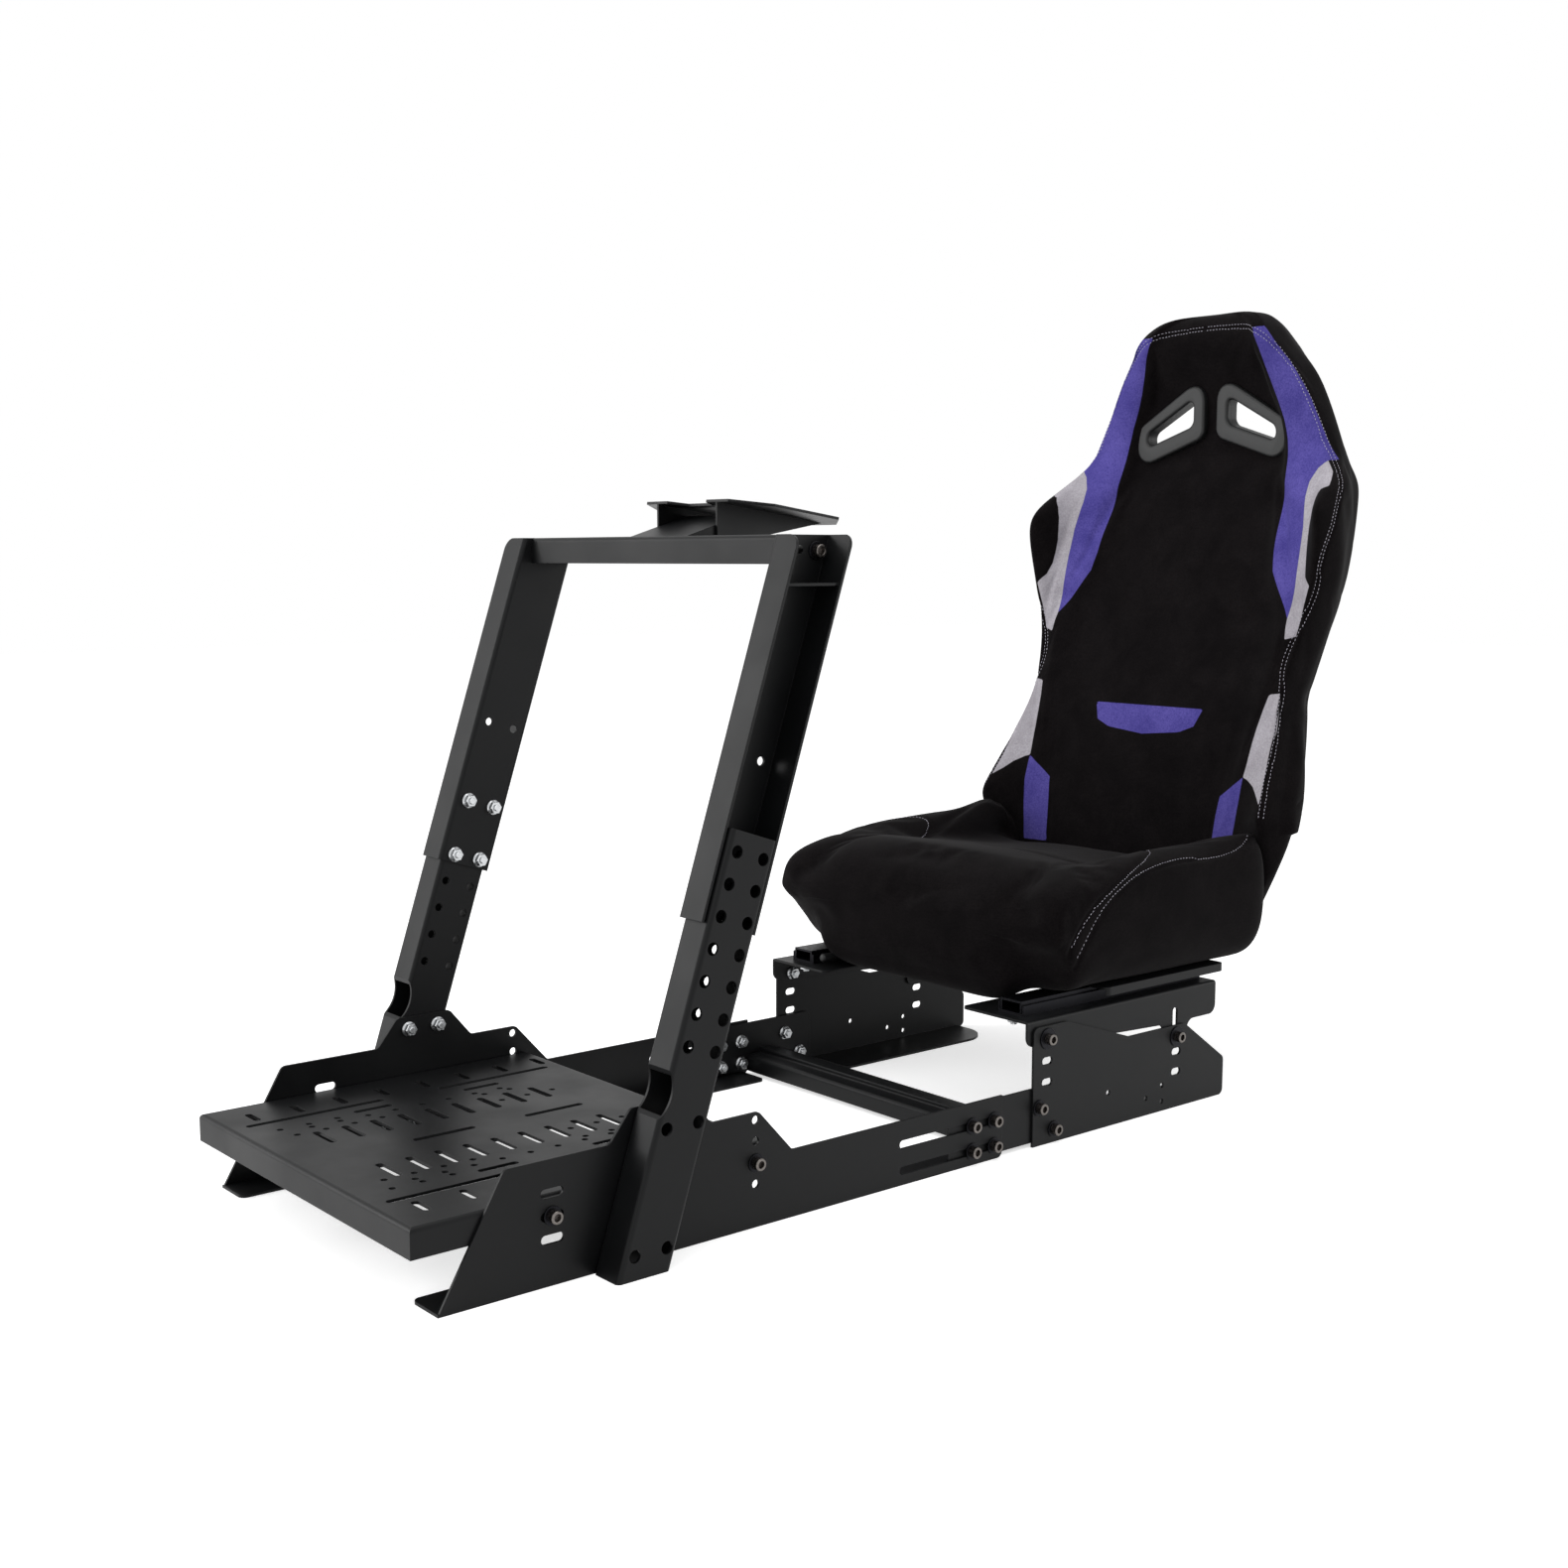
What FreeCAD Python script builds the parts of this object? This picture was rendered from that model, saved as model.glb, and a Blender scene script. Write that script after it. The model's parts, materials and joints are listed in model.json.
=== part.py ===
"""Sim racing cockpit: a folded sheet-steel frame with a pedal deck, leaning wheel posts and a bucket
seat on slides.

Millimetres. X runs across the cockpit, +X to the driver's left. The driver faces -Y, so the pedals are
at -Y and the seat at +Y. Z is up from the floor. Places along Y are written from one datum on the frame,
and every sub-part is then shifted so that the whole cockpit is centred on Y = 0.
"""
import FreeCAD
import Part
import Sketcher
import math
import os
import re

DRIVING_SIZES = {
    # Sheet metal and fastener holes
    "plate": 3,
    "bend_radius": 5,
    "bolt_hole": 9,
    "slot_width": 9,
    "corner_radius": 8,
    "frame_width": 460,
    "floor_flange": 48,
    # Front side plates
    "foot_front": -656,
    "nose_top": -585,
    "nose_height": 121,
    "ear_start": -470,
    "ear_front": -445,
    "ear_height": 152,
    "ear_rear": -378,
    "step_front": -350,
    "step_height": 119,
    "step_rear": -290,
    "rail_start": -246,
    "rail_height": 71,
    "rail_rear": 62,
    "length_slot_front": -96,
    "length_slot_rear": 55,
    "low_bolt_height": 16,
    "high_bolt_height": 45,
    # Pedal deck
    "deck_front": -680,
    "deck_rear": -276,
    "deck_top": 86.5,
    "deck_skirt": 29,
    "deck_side_gap": 0.3,
    "deck_bolt_front": -535,
    "deck_bolt_rear": -294,
    "deck_bolt_height": 67,
    "deck_bolt_pitch": 22,
    "deck_adjust_slot": 25,
    "deck_slot_width": 8,
    "pedal_slot_side": 67,
    "pedal_slot_length": 45,
    "pedal_slot_front": -615,
    "pedal_slot_rear": -359,
    "edge_slot_side": 178,
    "edge_slot_length": 29,
    "edge_slot_front": -642,
    "edge_slot_rear": -292,
    "long_slot_side": 150,
    "long_slot_front": -662,
    "long_slot_middle": -505,
    "long_slot_restart": -438,
    "long_slot_rear": -296,
    "short_slot_side": 127,
    "short_slot_front": -552,
    "short_slot_restart": -420,
    "short_slot_length": 45,
    "centre_slot_length": 72,
    "deck_hole": 7,
    "middle_hole_side": 108,
    "middle_hole_front": -609,
    "inner_hole_side": 92,
    "inner_hole_front": -633,
    "outer_hole_side": 119,
    "outer_hole_front": -639,
    "rear_hole_side": 99,
    "rear_hole_front": -410,
    "between_hole_front": -407,
    # Wheel posts
    "post_foot": -460,
    "post_lean": 18.3,
    "lower_width": 58,
    "lower_depth": 40,
    "lower_length": 428,
    "access_hole": 13,
    "row_pitch": 31.5,
    "column_gap": 33.5,
    "first_row": 20.5,
    "foot_bolt_low": 23.5,
    "foot_bolt_high": 138,
    "foot_bolt_gap": 37,
    "notch_radius": 38,
    "notch_reach": 8,
    "notch_height": 170,
    "upper_width": 68,
    "upper_depth": 38,
    "upper_start": 335,
    "post_top": 692,
    "flange_round": 14,
    "spare_row": 94.5,
    "gusset_height": 642,
    # Wheel crossbar and wheel deck
    "bar_front": -257,
    "bar_depth": 58,
    "bar_height": 29,
    "bar_bolt": -216,
    "bar_pivot": -237,
    "support_front": -242,
    "support_length": 76,
    "support_slope": 17,
    "support_width": 102,
    "web_gap": 0.3,
    "wheel_front": -203,
    "wheel_height": 731,
    "wheel_tilt": 8,
    "wheel_width": 210,
    "wheel_nose": 146,
    "wheel_length": 161,
    "wheel_front_chamfer": 38,
    "wheel_rear_chamfer": 32,
    "wheel_rear_width": 130,
    "wheel_notch_mouth": 70,
    "wheel_notch_floor": 44,
    "wheel_notch_depth": 20,
    "wheel_web_length": 148,
    "wheel_web_foot": 60,
    "wheel_hole": 6.5,
    "wheel_hole_gap": 136,
    "wheel_hole_front": 52,
    "wheel_hole_pitch": 39,
    # Middle plates and cross member
    "mid_front": -20,
    "mid_rear": 166,
    "mid_lift": 5,
    "mid_height": 63,
    "mid_bolt_front": 14,
    "mid_bolt_rear": 48,
    "cross_front": 58,
    "cross_depth": 62,
    "cross_lip": 21,
    "rib_start": 22,
    "rib_width": 20,
    "rib_rise": 6,
    "rib_round": 2,
    # Seat side plates and brackets
    "seat_plate_front": 112,
    "seat_plate_rear": 460,
    "seat_plate_height": 139,
    "seat_plate_shoulder": 168,
    "seat_plate_dip": 279,
    "seat_plate_low": 103,
    "seat_plate_chamfer": 382,
    "seat_plate_tail": 48,
    "seat_flange": 72,
    "seat_flange_front": 174,
    "seat_flange_rear": 446,
    "seat_flange_round": 45,
    "tie_hole": 6.5,
    "tie_front": 242,
    "tie_front_height": 41,
    "tie_middle": 311,
    "tie_middle_height": 21,
    "tie_rear": 341,
    "tie_rear_high": 32,
    "tie_rear_low": 12,
    "seat_bolt_front": 135,
    "seat_bolt_rear": 367,
    "front_slot_height": 73,
    "rear_slot_height": 45,
    "slot_pitch": 25,
    "slot_length": 17,
    "join_bolt_front": 122,
    "join_bolt_rear": 147,
    "bracket_front": 104,
    "bracket_rear": 445,
    "bracket_top": 147,
    "bracket_flange": 105,
    "bracket_drop_front": 30,
    "bracket_drop_rear": 41,
    "bracket_tab": 70,
    "bracket_tab_front": 345,
    "bracket_tab_rear": 390,
    "bracket_round": 12,
    # Seat slides and release lever
    "slide_inset": 41,
    "slide_front": 121,
    "slide_length": 320,
    "slide_width": 40,
    "slide_wall": 2.5,
    "lower_slide_height": 12,
    "upper_slide_height": 16.7,
    "slide_side_gap": 1,
    "slide_seat_gap": 0.3,
    "lever_inset": 35,
    "lever_pivot": 250,
    "lever_drop": 7,
    "lever_rod": 7,
    "lever_reach": 90,
    "lever_hub": 13,
    "lever_hub_width": 10,
    "lever_pin": 6,
    "lever_pin_gap": 0.05,
    "lever_lug": 15,
    "lever_lug_drop": 12,
    "grip_length": 38,
    "grip_diameter": 11,
    # Seat base
    "base_front": 240,
    "base_rear": 463,
    "base_width": 452,
    "base_lip": 7,
    "soft_gap": 0.3,
    # Seat cushion
    "cushion_front": 128,
    "cushion_pad_width": 330,
    "keel_width": 220,
    "keel_low": 161,
    "cushion_lip": 196,
    "cushion_top": 302,
    "cushion_sag": 276,
    "cushion_shoulder": 214,
    "cushion_inset": 8,
    "cushion_overhang": 24,
    "cushion_waist": 235,
    "bolster_front": 299,
    "bolster_middle": 317,
    "bolster_rear": 336,
    "nose_round": 16,
    "nose_roll": 46,
    # Seat back
    "back_front": 528,
    "bezel_depth": 9,
    "belt_round": 5,
    "belt_inner": 38,
    "belt_top": 883,
    "belt_inner_low": 855,
    "belt_outer": 102,
    "belt_side": 846,
    "belt_base": 92,
    "belt_low": 828,
    "rim_round": 8,
    "rim_inner": 12,
    "rim_inner_top": 880,
    "rim_inner_low": 843,
    "rim_peak": 46,
    "rim_top": 901,
    "rim_shoulder": 108,
    "rim_shoulder_height": 862,
    "rim_outer": 125,
    "rim_side": 829,
    "rim_base": 93,
    "rim_low": 811,
    # Seat back levels from the bottom up
    "foot_height": 167, "foot_half_width": 195, "foot_pad_half": 165,
    "foot_pad_front": 528, "foot_bolster": 528, "foot_side": 538, "foot_rear": 552,
    "root_height": 300, "root_half_width": 250, "root_pad_half": 165,
    "root_pad_front": 528, "root_bolster": 528, "root_side": 548, "root_rear": 628,
    "hip_height": 336, "hip_half_width": 252, "hip_pad_half": 165,
    "hip_pad_front": 540, "hip_bolster": 502, "hip_side": 574, "hip_rear": 640,
    "lumbar_height": 400, "lumbar_half_width": 237, "lumbar_pad_half": 172,
    "lumbar_pad_front": 562, "lumbar_bolster": 536, "lumbar_side": 600, "lumbar_rear": 658,
    "waist_height": 500, "waist_half_width": 219, "waist_pad_half": 172,
    "waist_pad_front": 596, "waist_bolster": 584, "waist_side": 625, "waist_rear": 694,
    "chest_height": 575, "chest_half_width": 233, "chest_pad_half": 182,
    "chest_pad_front": 625, "chest_bolster": 606, "chest_side": 650, "chest_rear": 718,
    "wing_height": 700, "wing_half_width": 258, "wing_pad_half": 192,
    "wing_pad_front": 665, "wing_bolster": 596, "wing_side": 652, "wing_rear": 752,
    "yoke_height": 735, "yoke_half_width": 252, "yoke_pad_half": 187,
    "yoke_pad_front": 679, "yoke_bolster": 603, "yoke_side": 668, "yoke_rear": 760,
    "shoulder_height": 765, "shoulder_half_width": 240, "shoulder_pad_half": 180,
    "shoulder_pad_front": 687, "shoulder_bolster": 650, "shoulder_side": 683, "shoulder_rear": 766,
    "neck_height": 805, "neck_half_width": 205, "neck_pad_half": 150,
    "neck_pad_front": 700, "neck_bolster": 682, "neck_side": 712, "neck_rear": 772,
    "slots_height": 906, "slots_half_width": 152, "slots_pad_half": 115,
    "slots_pad_front": 700, "slots_bolster": 682, "slots_side": 731, "slots_rear": 770,
    "head_height": 962, "head_half_width": 116, "head_pad_half": 84,
    "head_pad_front": 676, "head_bolster": 668, "head_side": 724, "head_rear": 764,
    "crown_height": 1000, "crown_half_width": 78, "crown_pad_half": 56,
    "crown_pad_front": 690, "crown_bolster": 686, "crown_side": 716, "crown_rear": 738,
}

BACK_LEVELS = (
    "foot", "root", "hip", "lumbar", "waist", "chest", "wing", "yoke", "shoulder", "neck", "slots", "head",
    "crown",
)

doc = FreeCAD.newDocument("cockpit")
sheet = doc.addObject("Spreadsheet::Sheet", "Size")
finished = []


def fill_sheet():
    """Put each driving size in its own cell, under its own name."""
    for row, (name, value) in enumerate(DRIVING_SIZES.items(), start=1):
        sheet.set("A%d" % row, name)
        sheet.set("B%d" % row, str(value))
        sheet.setAlias("B%d" % row, name)
    doc.recompute()


def tied(text):
    """An expression written with size names, pointed at the sheet's cells."""
    return re.sub(r"\b([a-z][a-z_]+)\b(?!\()", r"Size.\1", str(text))


def number(text):
    """The value of such an expression with the sizes as they are now."""
    return float(sheet.evalExpression(tied(text)))


# Sub-parts, sketches and features

CENTRING = "-(deck_front + neck_rear) / 2"


def new_body(label, along="0", up="0", lean=None):
    """A sub-part whose own origin lies at a place along Y and Z, leaning back about X where it says so."""
    body = doc.addObject("PartDesign::Body", label)
    body.Label = label
    if lean:
        turn = FreeCAD.Rotation(FreeCAD.Vector(-1, 0, 0), number(lean))
        body.Placement = FreeCAD.Placement(FreeCAD.Vector(), turn)
        body.setExpression("Placement.Rotation.Angle", tied(lean))
    body.setExpression("Placement.Base.y", tied("%s + %s" % (along, CENTRING)))
    body.setExpression("Placement.Base.z", tied(up))
    finished.append(body)
    return body


def mirrored(body, label):
    """The same sub-part on the driver's right."""
    other = doc.addObject("Part::Mirroring", label)
    other.Label = label
    other.Source = body
    other.Base = FreeCAD.Vector()
    other.Normal = FreeCAD.Vector(1, 0, 0)
    finished.append(other)
    return other


def new_sketch(body, role, offset="0"):
    """A sketch on one of the body's own origin planes, moved along the plane's normal."""
    sketch = body.newObject("Sketcher::SketchObject", body.Name + "_sketch")
    plane = [item for item in body.Origin.OriginFeatures if item.Role == role][0]
    sketch.AttachmentSupport = [(plane, "")]
    sketch.MapMode = "FlatFace"
    sketch.setExpression("AttachmentOffset.Base.z", tied(offset))
    return sketch


def pin_point(sketch, geometry, place, x, y):
    """Hold a point of the sketch at two sizes of the sheet."""
    for kind, text in (("DistanceX", x), ("DistanceY", y)):
        index = sketch.addConstraint(Sketcher.Constraint(kind, -1, 1, geometry, place, number(text)))
        sketch.setExpression("Constraints[%d]" % index, tied(text))


def draw_outline(sketch, corners):
    """A closed outline through corners (x, y) or (x, y, radius), each one held by sizes of the sheet."""
    places = [FreeCAD.Vector(number(corner[0]), number(corner[1]), 0) for corner in corners]
    radii = [number(corner[2]) if len(corner) > 2 else 0 for corner in corners]
    count = len(corners)
    entries = []
    exits = []
    for index, place in enumerate(places):
        back = (places[index - 1] - place).normalize()
        ahead = (places[(index + 1) % count] - place).normalize()
        reach = radii[index] / math.tan(back.getAngle(ahead) / 2) if radii[index] else 0
        entries.append(place + back * reach)
        exits.append(place + ahead * reach)
    lines = []
    for index in range(count):
        segment = Part.LineSegment(exits[index], entries[(index + 1) % count])
        lines.append(sketch.addGeometry(segment, False))
    for index in range(count):
        before = lines[index - 1]
        after = lines[index]
        x, y = corners[index][:2]
        if not radii[index]:
            sketch.addConstraint(Sketcher.Constraint("Coincident", before, 2, after, 1))
            pin_point(sketch, after, 1, x, y)
            continue
        add_round(sketch, before, after, (entries[index], places[index], exits[index]), corners[index])


def add_round(sketch, before, after, spots, corner):
    """An arc tangent to the two lines that meet at a held corner."""
    start, tip, end = spots
    radius = number(corner[2])
    inward = ((start - tip) + (end - tip)).normalize()
    half = (start - tip).getAngle(end - tip) / 2
    centre = tip + inward * (radius / math.sin(half))
    middle = centre - inward * radius
    turns_left = (tip - start).cross(end - tip).z > 0
    if turns_left:
        arc = sketch.addGeometry(Part.Arc(start, middle, end), False)
        first, last = 1, 2
    else:
        arc = sketch.addGeometry(Part.Arc(end, middle, start), False)
        first, last = 2, 1
    point = sketch.addGeometry(Part.Point(tip), True)
    sketch.addConstraint([
        Sketcher.Constraint("Tangent", before, 2, arc, first),
        Sketcher.Constraint("Tangent", after, 1, arc, last),
        Sketcher.Constraint("PointOnObject", point, 1, before),
        Sketcher.Constraint("PointOnObject", point, 1, after),
    ])
    index = sketch.addConstraint(Sketcher.Constraint("Radius", arc, radius))
    sketch.setExpression("Constraints[%d]" % index, tied(corner[2]))
    pin_point(sketch, point, 1, corner[0], corner[1])


def draw_hole(sketch, x, y, diameter):
    """A round hole held by its middle and its diameter."""
    middle = FreeCAD.Vector(number(x), number(y), 0)
    circle = Part.Circle(middle, FreeCAD.Vector(0, 0, 1), number(diameter) / 2)
    index = sketch.addGeometry(circle, False)
    bound = sketch.addConstraint(Sketcher.Constraint("Diameter", index, number(diameter)))
    sketch.setExpression("Constraints[%d]" % bound, tied(diameter))
    pin_point(sketch, index, 3, x, y)


def draw_slot(sketch, ends, width):
    """A round-ended slot between two end points (x, y) at the middles of its round ends."""
    points = [FreeCAD.Vector(number(x), number(y), 0) for x, y in ends]
    radius = number(width) / 2
    run = (points[1] - points[0]).normalize()
    side = FreeCAD.Vector(-run.y, run.x, 0) * radius
    nearest = Part.Arc(points[0] + side, points[0] - run * radius, points[0] - side)
    furthest = Part.Arc(points[1] - side, points[1] + run * radius, points[1] + side)
    first = sketch.addGeometry(nearest, False)
    last = sketch.addGeometry(furthest, False)
    low = sketch.addGeometry(Part.LineSegment(points[0] - side, points[1] - side), False)
    high = sketch.addGeometry(Part.LineSegment(points[1] + side, points[0] + side), False)

    def end_of(arc, spot):
        return 1 if (sketch.Geometry[arc].StartPoint - spot).Length < radius / 10 else 2

    sketch.addConstraint([
        Sketcher.Constraint("Tangent", low, 1, first, end_of(first, points[0] - side)),
        Sketcher.Constraint("Tangent", low, 2, last, end_of(last, points[1] - side)),
        Sketcher.Constraint("Tangent", high, 1, last, end_of(last, points[1] + side)),
        Sketcher.Constraint("Tangent", high, 2, first, end_of(first, points[0] + side)),
    ])
    bound = sketch.addConstraint(Sketcher.Constraint("Radius", first, radius))
    sketch.setExpression("Constraints[%d]" % bound, tied("(%s) / 2" % width))
    for arc, (x, y) in zip((first, last), ends):
        pin_point(sketch, arc, 3, x, y)


def add_pad(body, sketch, length, both_ways=False, backwards=False):
    """Thicken a sketch into solid."""
    pad = body.newObject("PartDesign::Pad", body.Name + "_pad")
    pad.Profile = sketch
    pad.Midplane = both_ways
    pad.Reversed = backwards
    pad.setExpression("Length", tied(length))
    doc.recompute()
    return pad


def add_cut(body, sketch, depth=None, backwards=False):
    """Cut a sketch through everything, or to a depth on one side, and make sure it removed metal."""
    before = body.Shape.Volume
    cut = body.newObject("PartDesign::Pocket", body.Name + "_cut")
    cut.Profile = sketch
    if depth is None:
        cut.Type = "ThroughAll"
        cut.Midplane = True
    else:
        cut.Reversed = backwards
        cut.setExpression("Length", tied(depth))
    doc.recompute()
    if not body.Shape.Volume < before:
        raise RuntimeError("%s removed nothing" % cut.Name)
    return cut


def add_round_edges(body, radius, wanted):
    """Round the edges of the body's last feature that a test of their two end points picks."""
    base = body.Tip
    picked = []
    for index, edge in enumerate(base.Shape.Edges, start=1):
        if wanted(edge.Vertexes[0].Point, edge.Vertexes[-1].Point):
            picked.append("Edge%d" % index)
    fillet = body.newObject("PartDesign::Fillet", body.Name + "_round")
    fillet.Base = (base, picked)
    fillet.setExpression("Radius", tied(radius))
    doc.recompute()
    return fillet


def add_loft(body, sections):
    """A solid with straight rules through a run of sections."""
    loft = body.newObject("PartDesign::AdditiveLoft", body.Name + "_loft")
    loft.Profile = sections[0]
    loft.Sections = sections[1:]
    loft.Ruled = True
    doc.recompute()
    return loft


def level_with(value, target):
    """True where a coordinate sits at a target, to within rounding."""
    return abs(value - target) < 0.01


# Front frame: side plates and pedal deck

def front_side_plate():
    body = new_body("left_front_side_plate")
    side = new_sketch(body, "YZ_Plane", "frame_width / 2 - plate")
    draw_outline(side, [
        ("foot_front", "0"),
        ("rail_rear", "0", "corner_radius"),
        ("rail_rear", "rail_height"),
        ("rail_start", "rail_height", "corner_radius"),
        ("step_rear", "step_height", "corner_radius"),
        ("step_front", "step_height", "corner_radius"),
        ("ear_rear", "ear_height", "corner_radius"),
        ("ear_front", "ear_height", "corner_radius"),
        ("ear_start", "nose_height", "corner_radius"),
        ("nose_top", "nose_height", "corner_radius"),
    ])
    add_pad(body, side, "plate")
    flange = new_sketch(body, "XY_Plane")
    inner = "frame_width / 2 - floor_flange"
    draw_outline(flange, [
        (inner, "foot_front", "corner_radius"),
        ("frame_width / 2", "foot_front"),
        ("frame_width / 2", "rail_rear - corner_radius"),
        (inner, "rail_rear - corner_radius", "corner_radius"),
    ])
    add_pad(body, flange, "plate")
    holes = new_sketch(body, "YZ_Plane")
    for step in (-1, 0, 1):
        height = "deck_bolt_height + %d * deck_bolt_pitch" % step
        half = "(deck_adjust_slot - slot_width) / 2"
        ends = [("deck_bolt_front - " + half, height), ("deck_bolt_front + " + half, height)]
        draw_slot(holes, ends, "slot_width")
    for step in (-1, 0, 1, 2):
        draw_hole(holes, "deck_bolt_rear", "deck_bolt_height + %d * deck_bolt_pitch" % step, "bolt_hole")
    for height in ("low_bolt_height", "high_bolt_height"):
        ends = [
            ("length_slot_front + slot_width / 2", height),
            ("length_slot_rear - slot_width / 2", height),
        ]
        draw_slot(holes, ends, "slot_width")
    for height in ("foot_bolt_low", "foot_bolt_high"):
        for sign in ("-", "+"):
            along = "post_foot + %s * tan(post_lean) %s foot_bolt_gap / 2" % (height, sign)
            draw_hole(holes, along, height, "bolt_hole")
    add_cut(body, holes)
    mirrored(body, "right_front_side_plate")


def pedal_deck():
    body = new_body("pedal_deck", up="deck_top - deck_skirt")
    half = "(frame_width / 2 - plate - deck_side_gap)"
    top = new_sketch(body, "XY_Plane")
    draw_outline(top, [
        ("-" + half, "deck_front"), (half, "deck_front"), (half, "deck_rear"), ("-" + half, "deck_rear"),
    ])
    add_pad(body, top, "deck_skirt")
    skirt = number("deck_skirt")
    add_round_edges(body, "bend_radius", lambda a, b: level_with(a.z, skirt) and level_with(b.z, skirt))
    hollow = new_sketch(body, "XY_Plane")
    wall = half[:-1] + " - plate)"
    draw_outline(hollow, [
        ("-" + wall, "deck_front + plate"), (wall, "deck_front + plate"),
        (wall, "deck_rear - plate"), ("-" + wall, "deck_rear - plate"),
    ])
    add_cut(body, hollow, "deck_skirt - plate", backwards=True)
    bolts = new_sketch(body, "YZ_Plane")
    for along in ("deck_bolt_front", "deck_bolt_rear"):
        draw_hole(bolts, along, "deck_bolt_height - deck_top + deck_skirt", "bolt_hole")
    add_cut(body, bolts)
    add_cross_slots(body, "pedal_slot", 9)
    add_cross_slots(body, "edge_slot", 8)
    add_hole_columns(body, "middle_hole_side", "middle_hole_front", 8)
    add_hole_columns(body, "inner_hole_side", "inner_hole_front", 4)
    add_hole_columns(body, "outer_hole_side", "outer_hole_front", 3)
    add_hole_columns(body, "rear_hole_side", "rear_hole_front", 2)
    add_hole_columns(body, "pedal_slot_side", "between_hole_front", 3)
    adjust = new_sketch(body, "XY_Plane", "deck_skirt")
    runs = [("0", "short_slot_front", "short_slot_front + centre_slot_length"),
            ("0", "short_slot_restart", "short_slot_restart + centre_slot_length")]
    for sign in ("-", ""):
        runs.append((sign + "long_slot_side", "long_slot_front", "long_slot_middle"))
        runs.append((sign + "long_slot_side", "long_slot_restart", "long_slot_rear"))
        for start in ("short_slot_front", "short_slot_restart"):
            runs.append((sign + "short_slot_side", start, start + " + short_slot_length"))
    for across, start, end in runs:
        ends = [(across, start + " + deck_slot_width / 2"), (across, end + " - deck_slot_width / 2")]
        draw_slot(adjust, ends, "deck_slot_width")
    add_cut(body, adjust, "2 * plate")


def add_cross_slots(body, kind, count):
    """Two columns of short slots across the deck, repeated from its front to its rear."""
    row = new_sketch(body, "XY_Plane", "deck_skirt")
    half = "(%s_length - deck_slot_width) / 2" % kind
    for sign in ("-", ""):
        middle = "%s%s_side" % (sign, kind)
        along = kind + "_front"
        draw_slot(row, [(middle + " - " + half, along), (middle + " + " + half, along)], "deck_slot_width")
    repeat_cut(body, row, count, "%s_rear - %s_front" % (kind, kind))


def add_hole_columns(body, side, front, count):
    """Two columns of small holes, one each side of the deck, at the pitch of the pedal slots."""
    row = new_sketch(body, "XY_Plane", "deck_skirt")
    for sign in ("-", ""):
        draw_hole(row, sign + side, front, "deck_hole")
    repeat_cut(body, row, count, "(pedal_slot_rear - pedal_slot_front) / 8 * %d" % (count - 1))


def repeat_cut(body, row, count, length):
    """Cut a row through the deck, then again and again along its length."""
    cut = add_cut(body, row, "2 * plate")
    pattern = body.newObject("PartDesign::LinearPattern", body.Name + "_pattern")
    pattern.Originals = [cut]
    pattern.Direction = (row, ["V_Axis"])
    pattern.Occurrences = count
    pattern.setExpression("Length", tied(length))
    body.Tip = pattern
    doc.recompute()


# Wheel posts

def lower_upright():
    body = new_body("left_lower_upright", along="post_foot", lean="post_lean")
    side = new_sketch(body, "YZ_Plane", "frame_width / 2")
    draw_outline(side, [
        ("-lower_width / 2", "-lower_width / 2 * tan(post_lean)"),
        ("lower_width / 2", "lower_width / 2 * tan(post_lean)"),
        ("lower_width / 2", "lower_length"),
        ("-lower_width / 2", "lower_length"),
    ])
    add_pad(body, side, "lower_depth")
    half = number("lower_width / 2")
    add_round_edges(body, "bend_radius", lambda a, b: level_with(abs(a.y), half) and level_with(a.y, b.y)
                    and level_with(a.x, b.x))
    bore = new_sketch(body, "YZ_Plane", "frame_width / 2 + plate")
    draw_outline(bore, [
        ("-lower_width / 2 + plate", "-lower_width"),
        ("lower_width / 2 - plate", "-lower_width"),
        ("lower_width / 2 - plate", "lower_length + plate"),
        ("-lower_width / 2 + plate", "lower_length + plate"),
    ])
    add_cut(body, bore, "lower_depth - 2 * plate", backwards=True)
    notch = new_sketch(body, "YZ_Plane")
    draw_hole(notch, "-lower_width / 2 - notch_radius + notch_reach", "notch_height", "2 * notch_radius")
    add_cut(body, notch)
    access = new_sketch(body, "YZ_Plane", "frame_width / 2 + lower_depth / 2")
    bolts = new_sketch(body, "YZ_Plane", "frame_width / 2 + lower_depth / 2")
    for row in range(7):
        for side_sign in ("-", ""):
            spot = (side_sign + "column_gap / 2", "lower_length - first_row - %d * row_pitch" % row)
            draw_hole(access, *spot, "access_hole")
            draw_hole(bolts, *spot, "bolt_hole")
    for height in ("foot_bolt_low", "foot_bolt_high"):
        for side_sign in ("-", "+"):
            across = "%s foot_bolt_gap / 2 * cos(post_lean)" % side_sign
            rise = "%s / cos(post_lean) %s foot_bolt_gap / 2 * sin(post_lean)" % (height, side_sign)
            spot = (across, rise)
            draw_hole(access, *spot, "access_hole")
            draw_hole(bolts, *spot, "bolt_hole")
    add_cut(body, access, "lower_depth", backwards=True)
    add_cut(body, bolts, "lower_depth")
    mirrored(body, "right_lower_upright")


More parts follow.
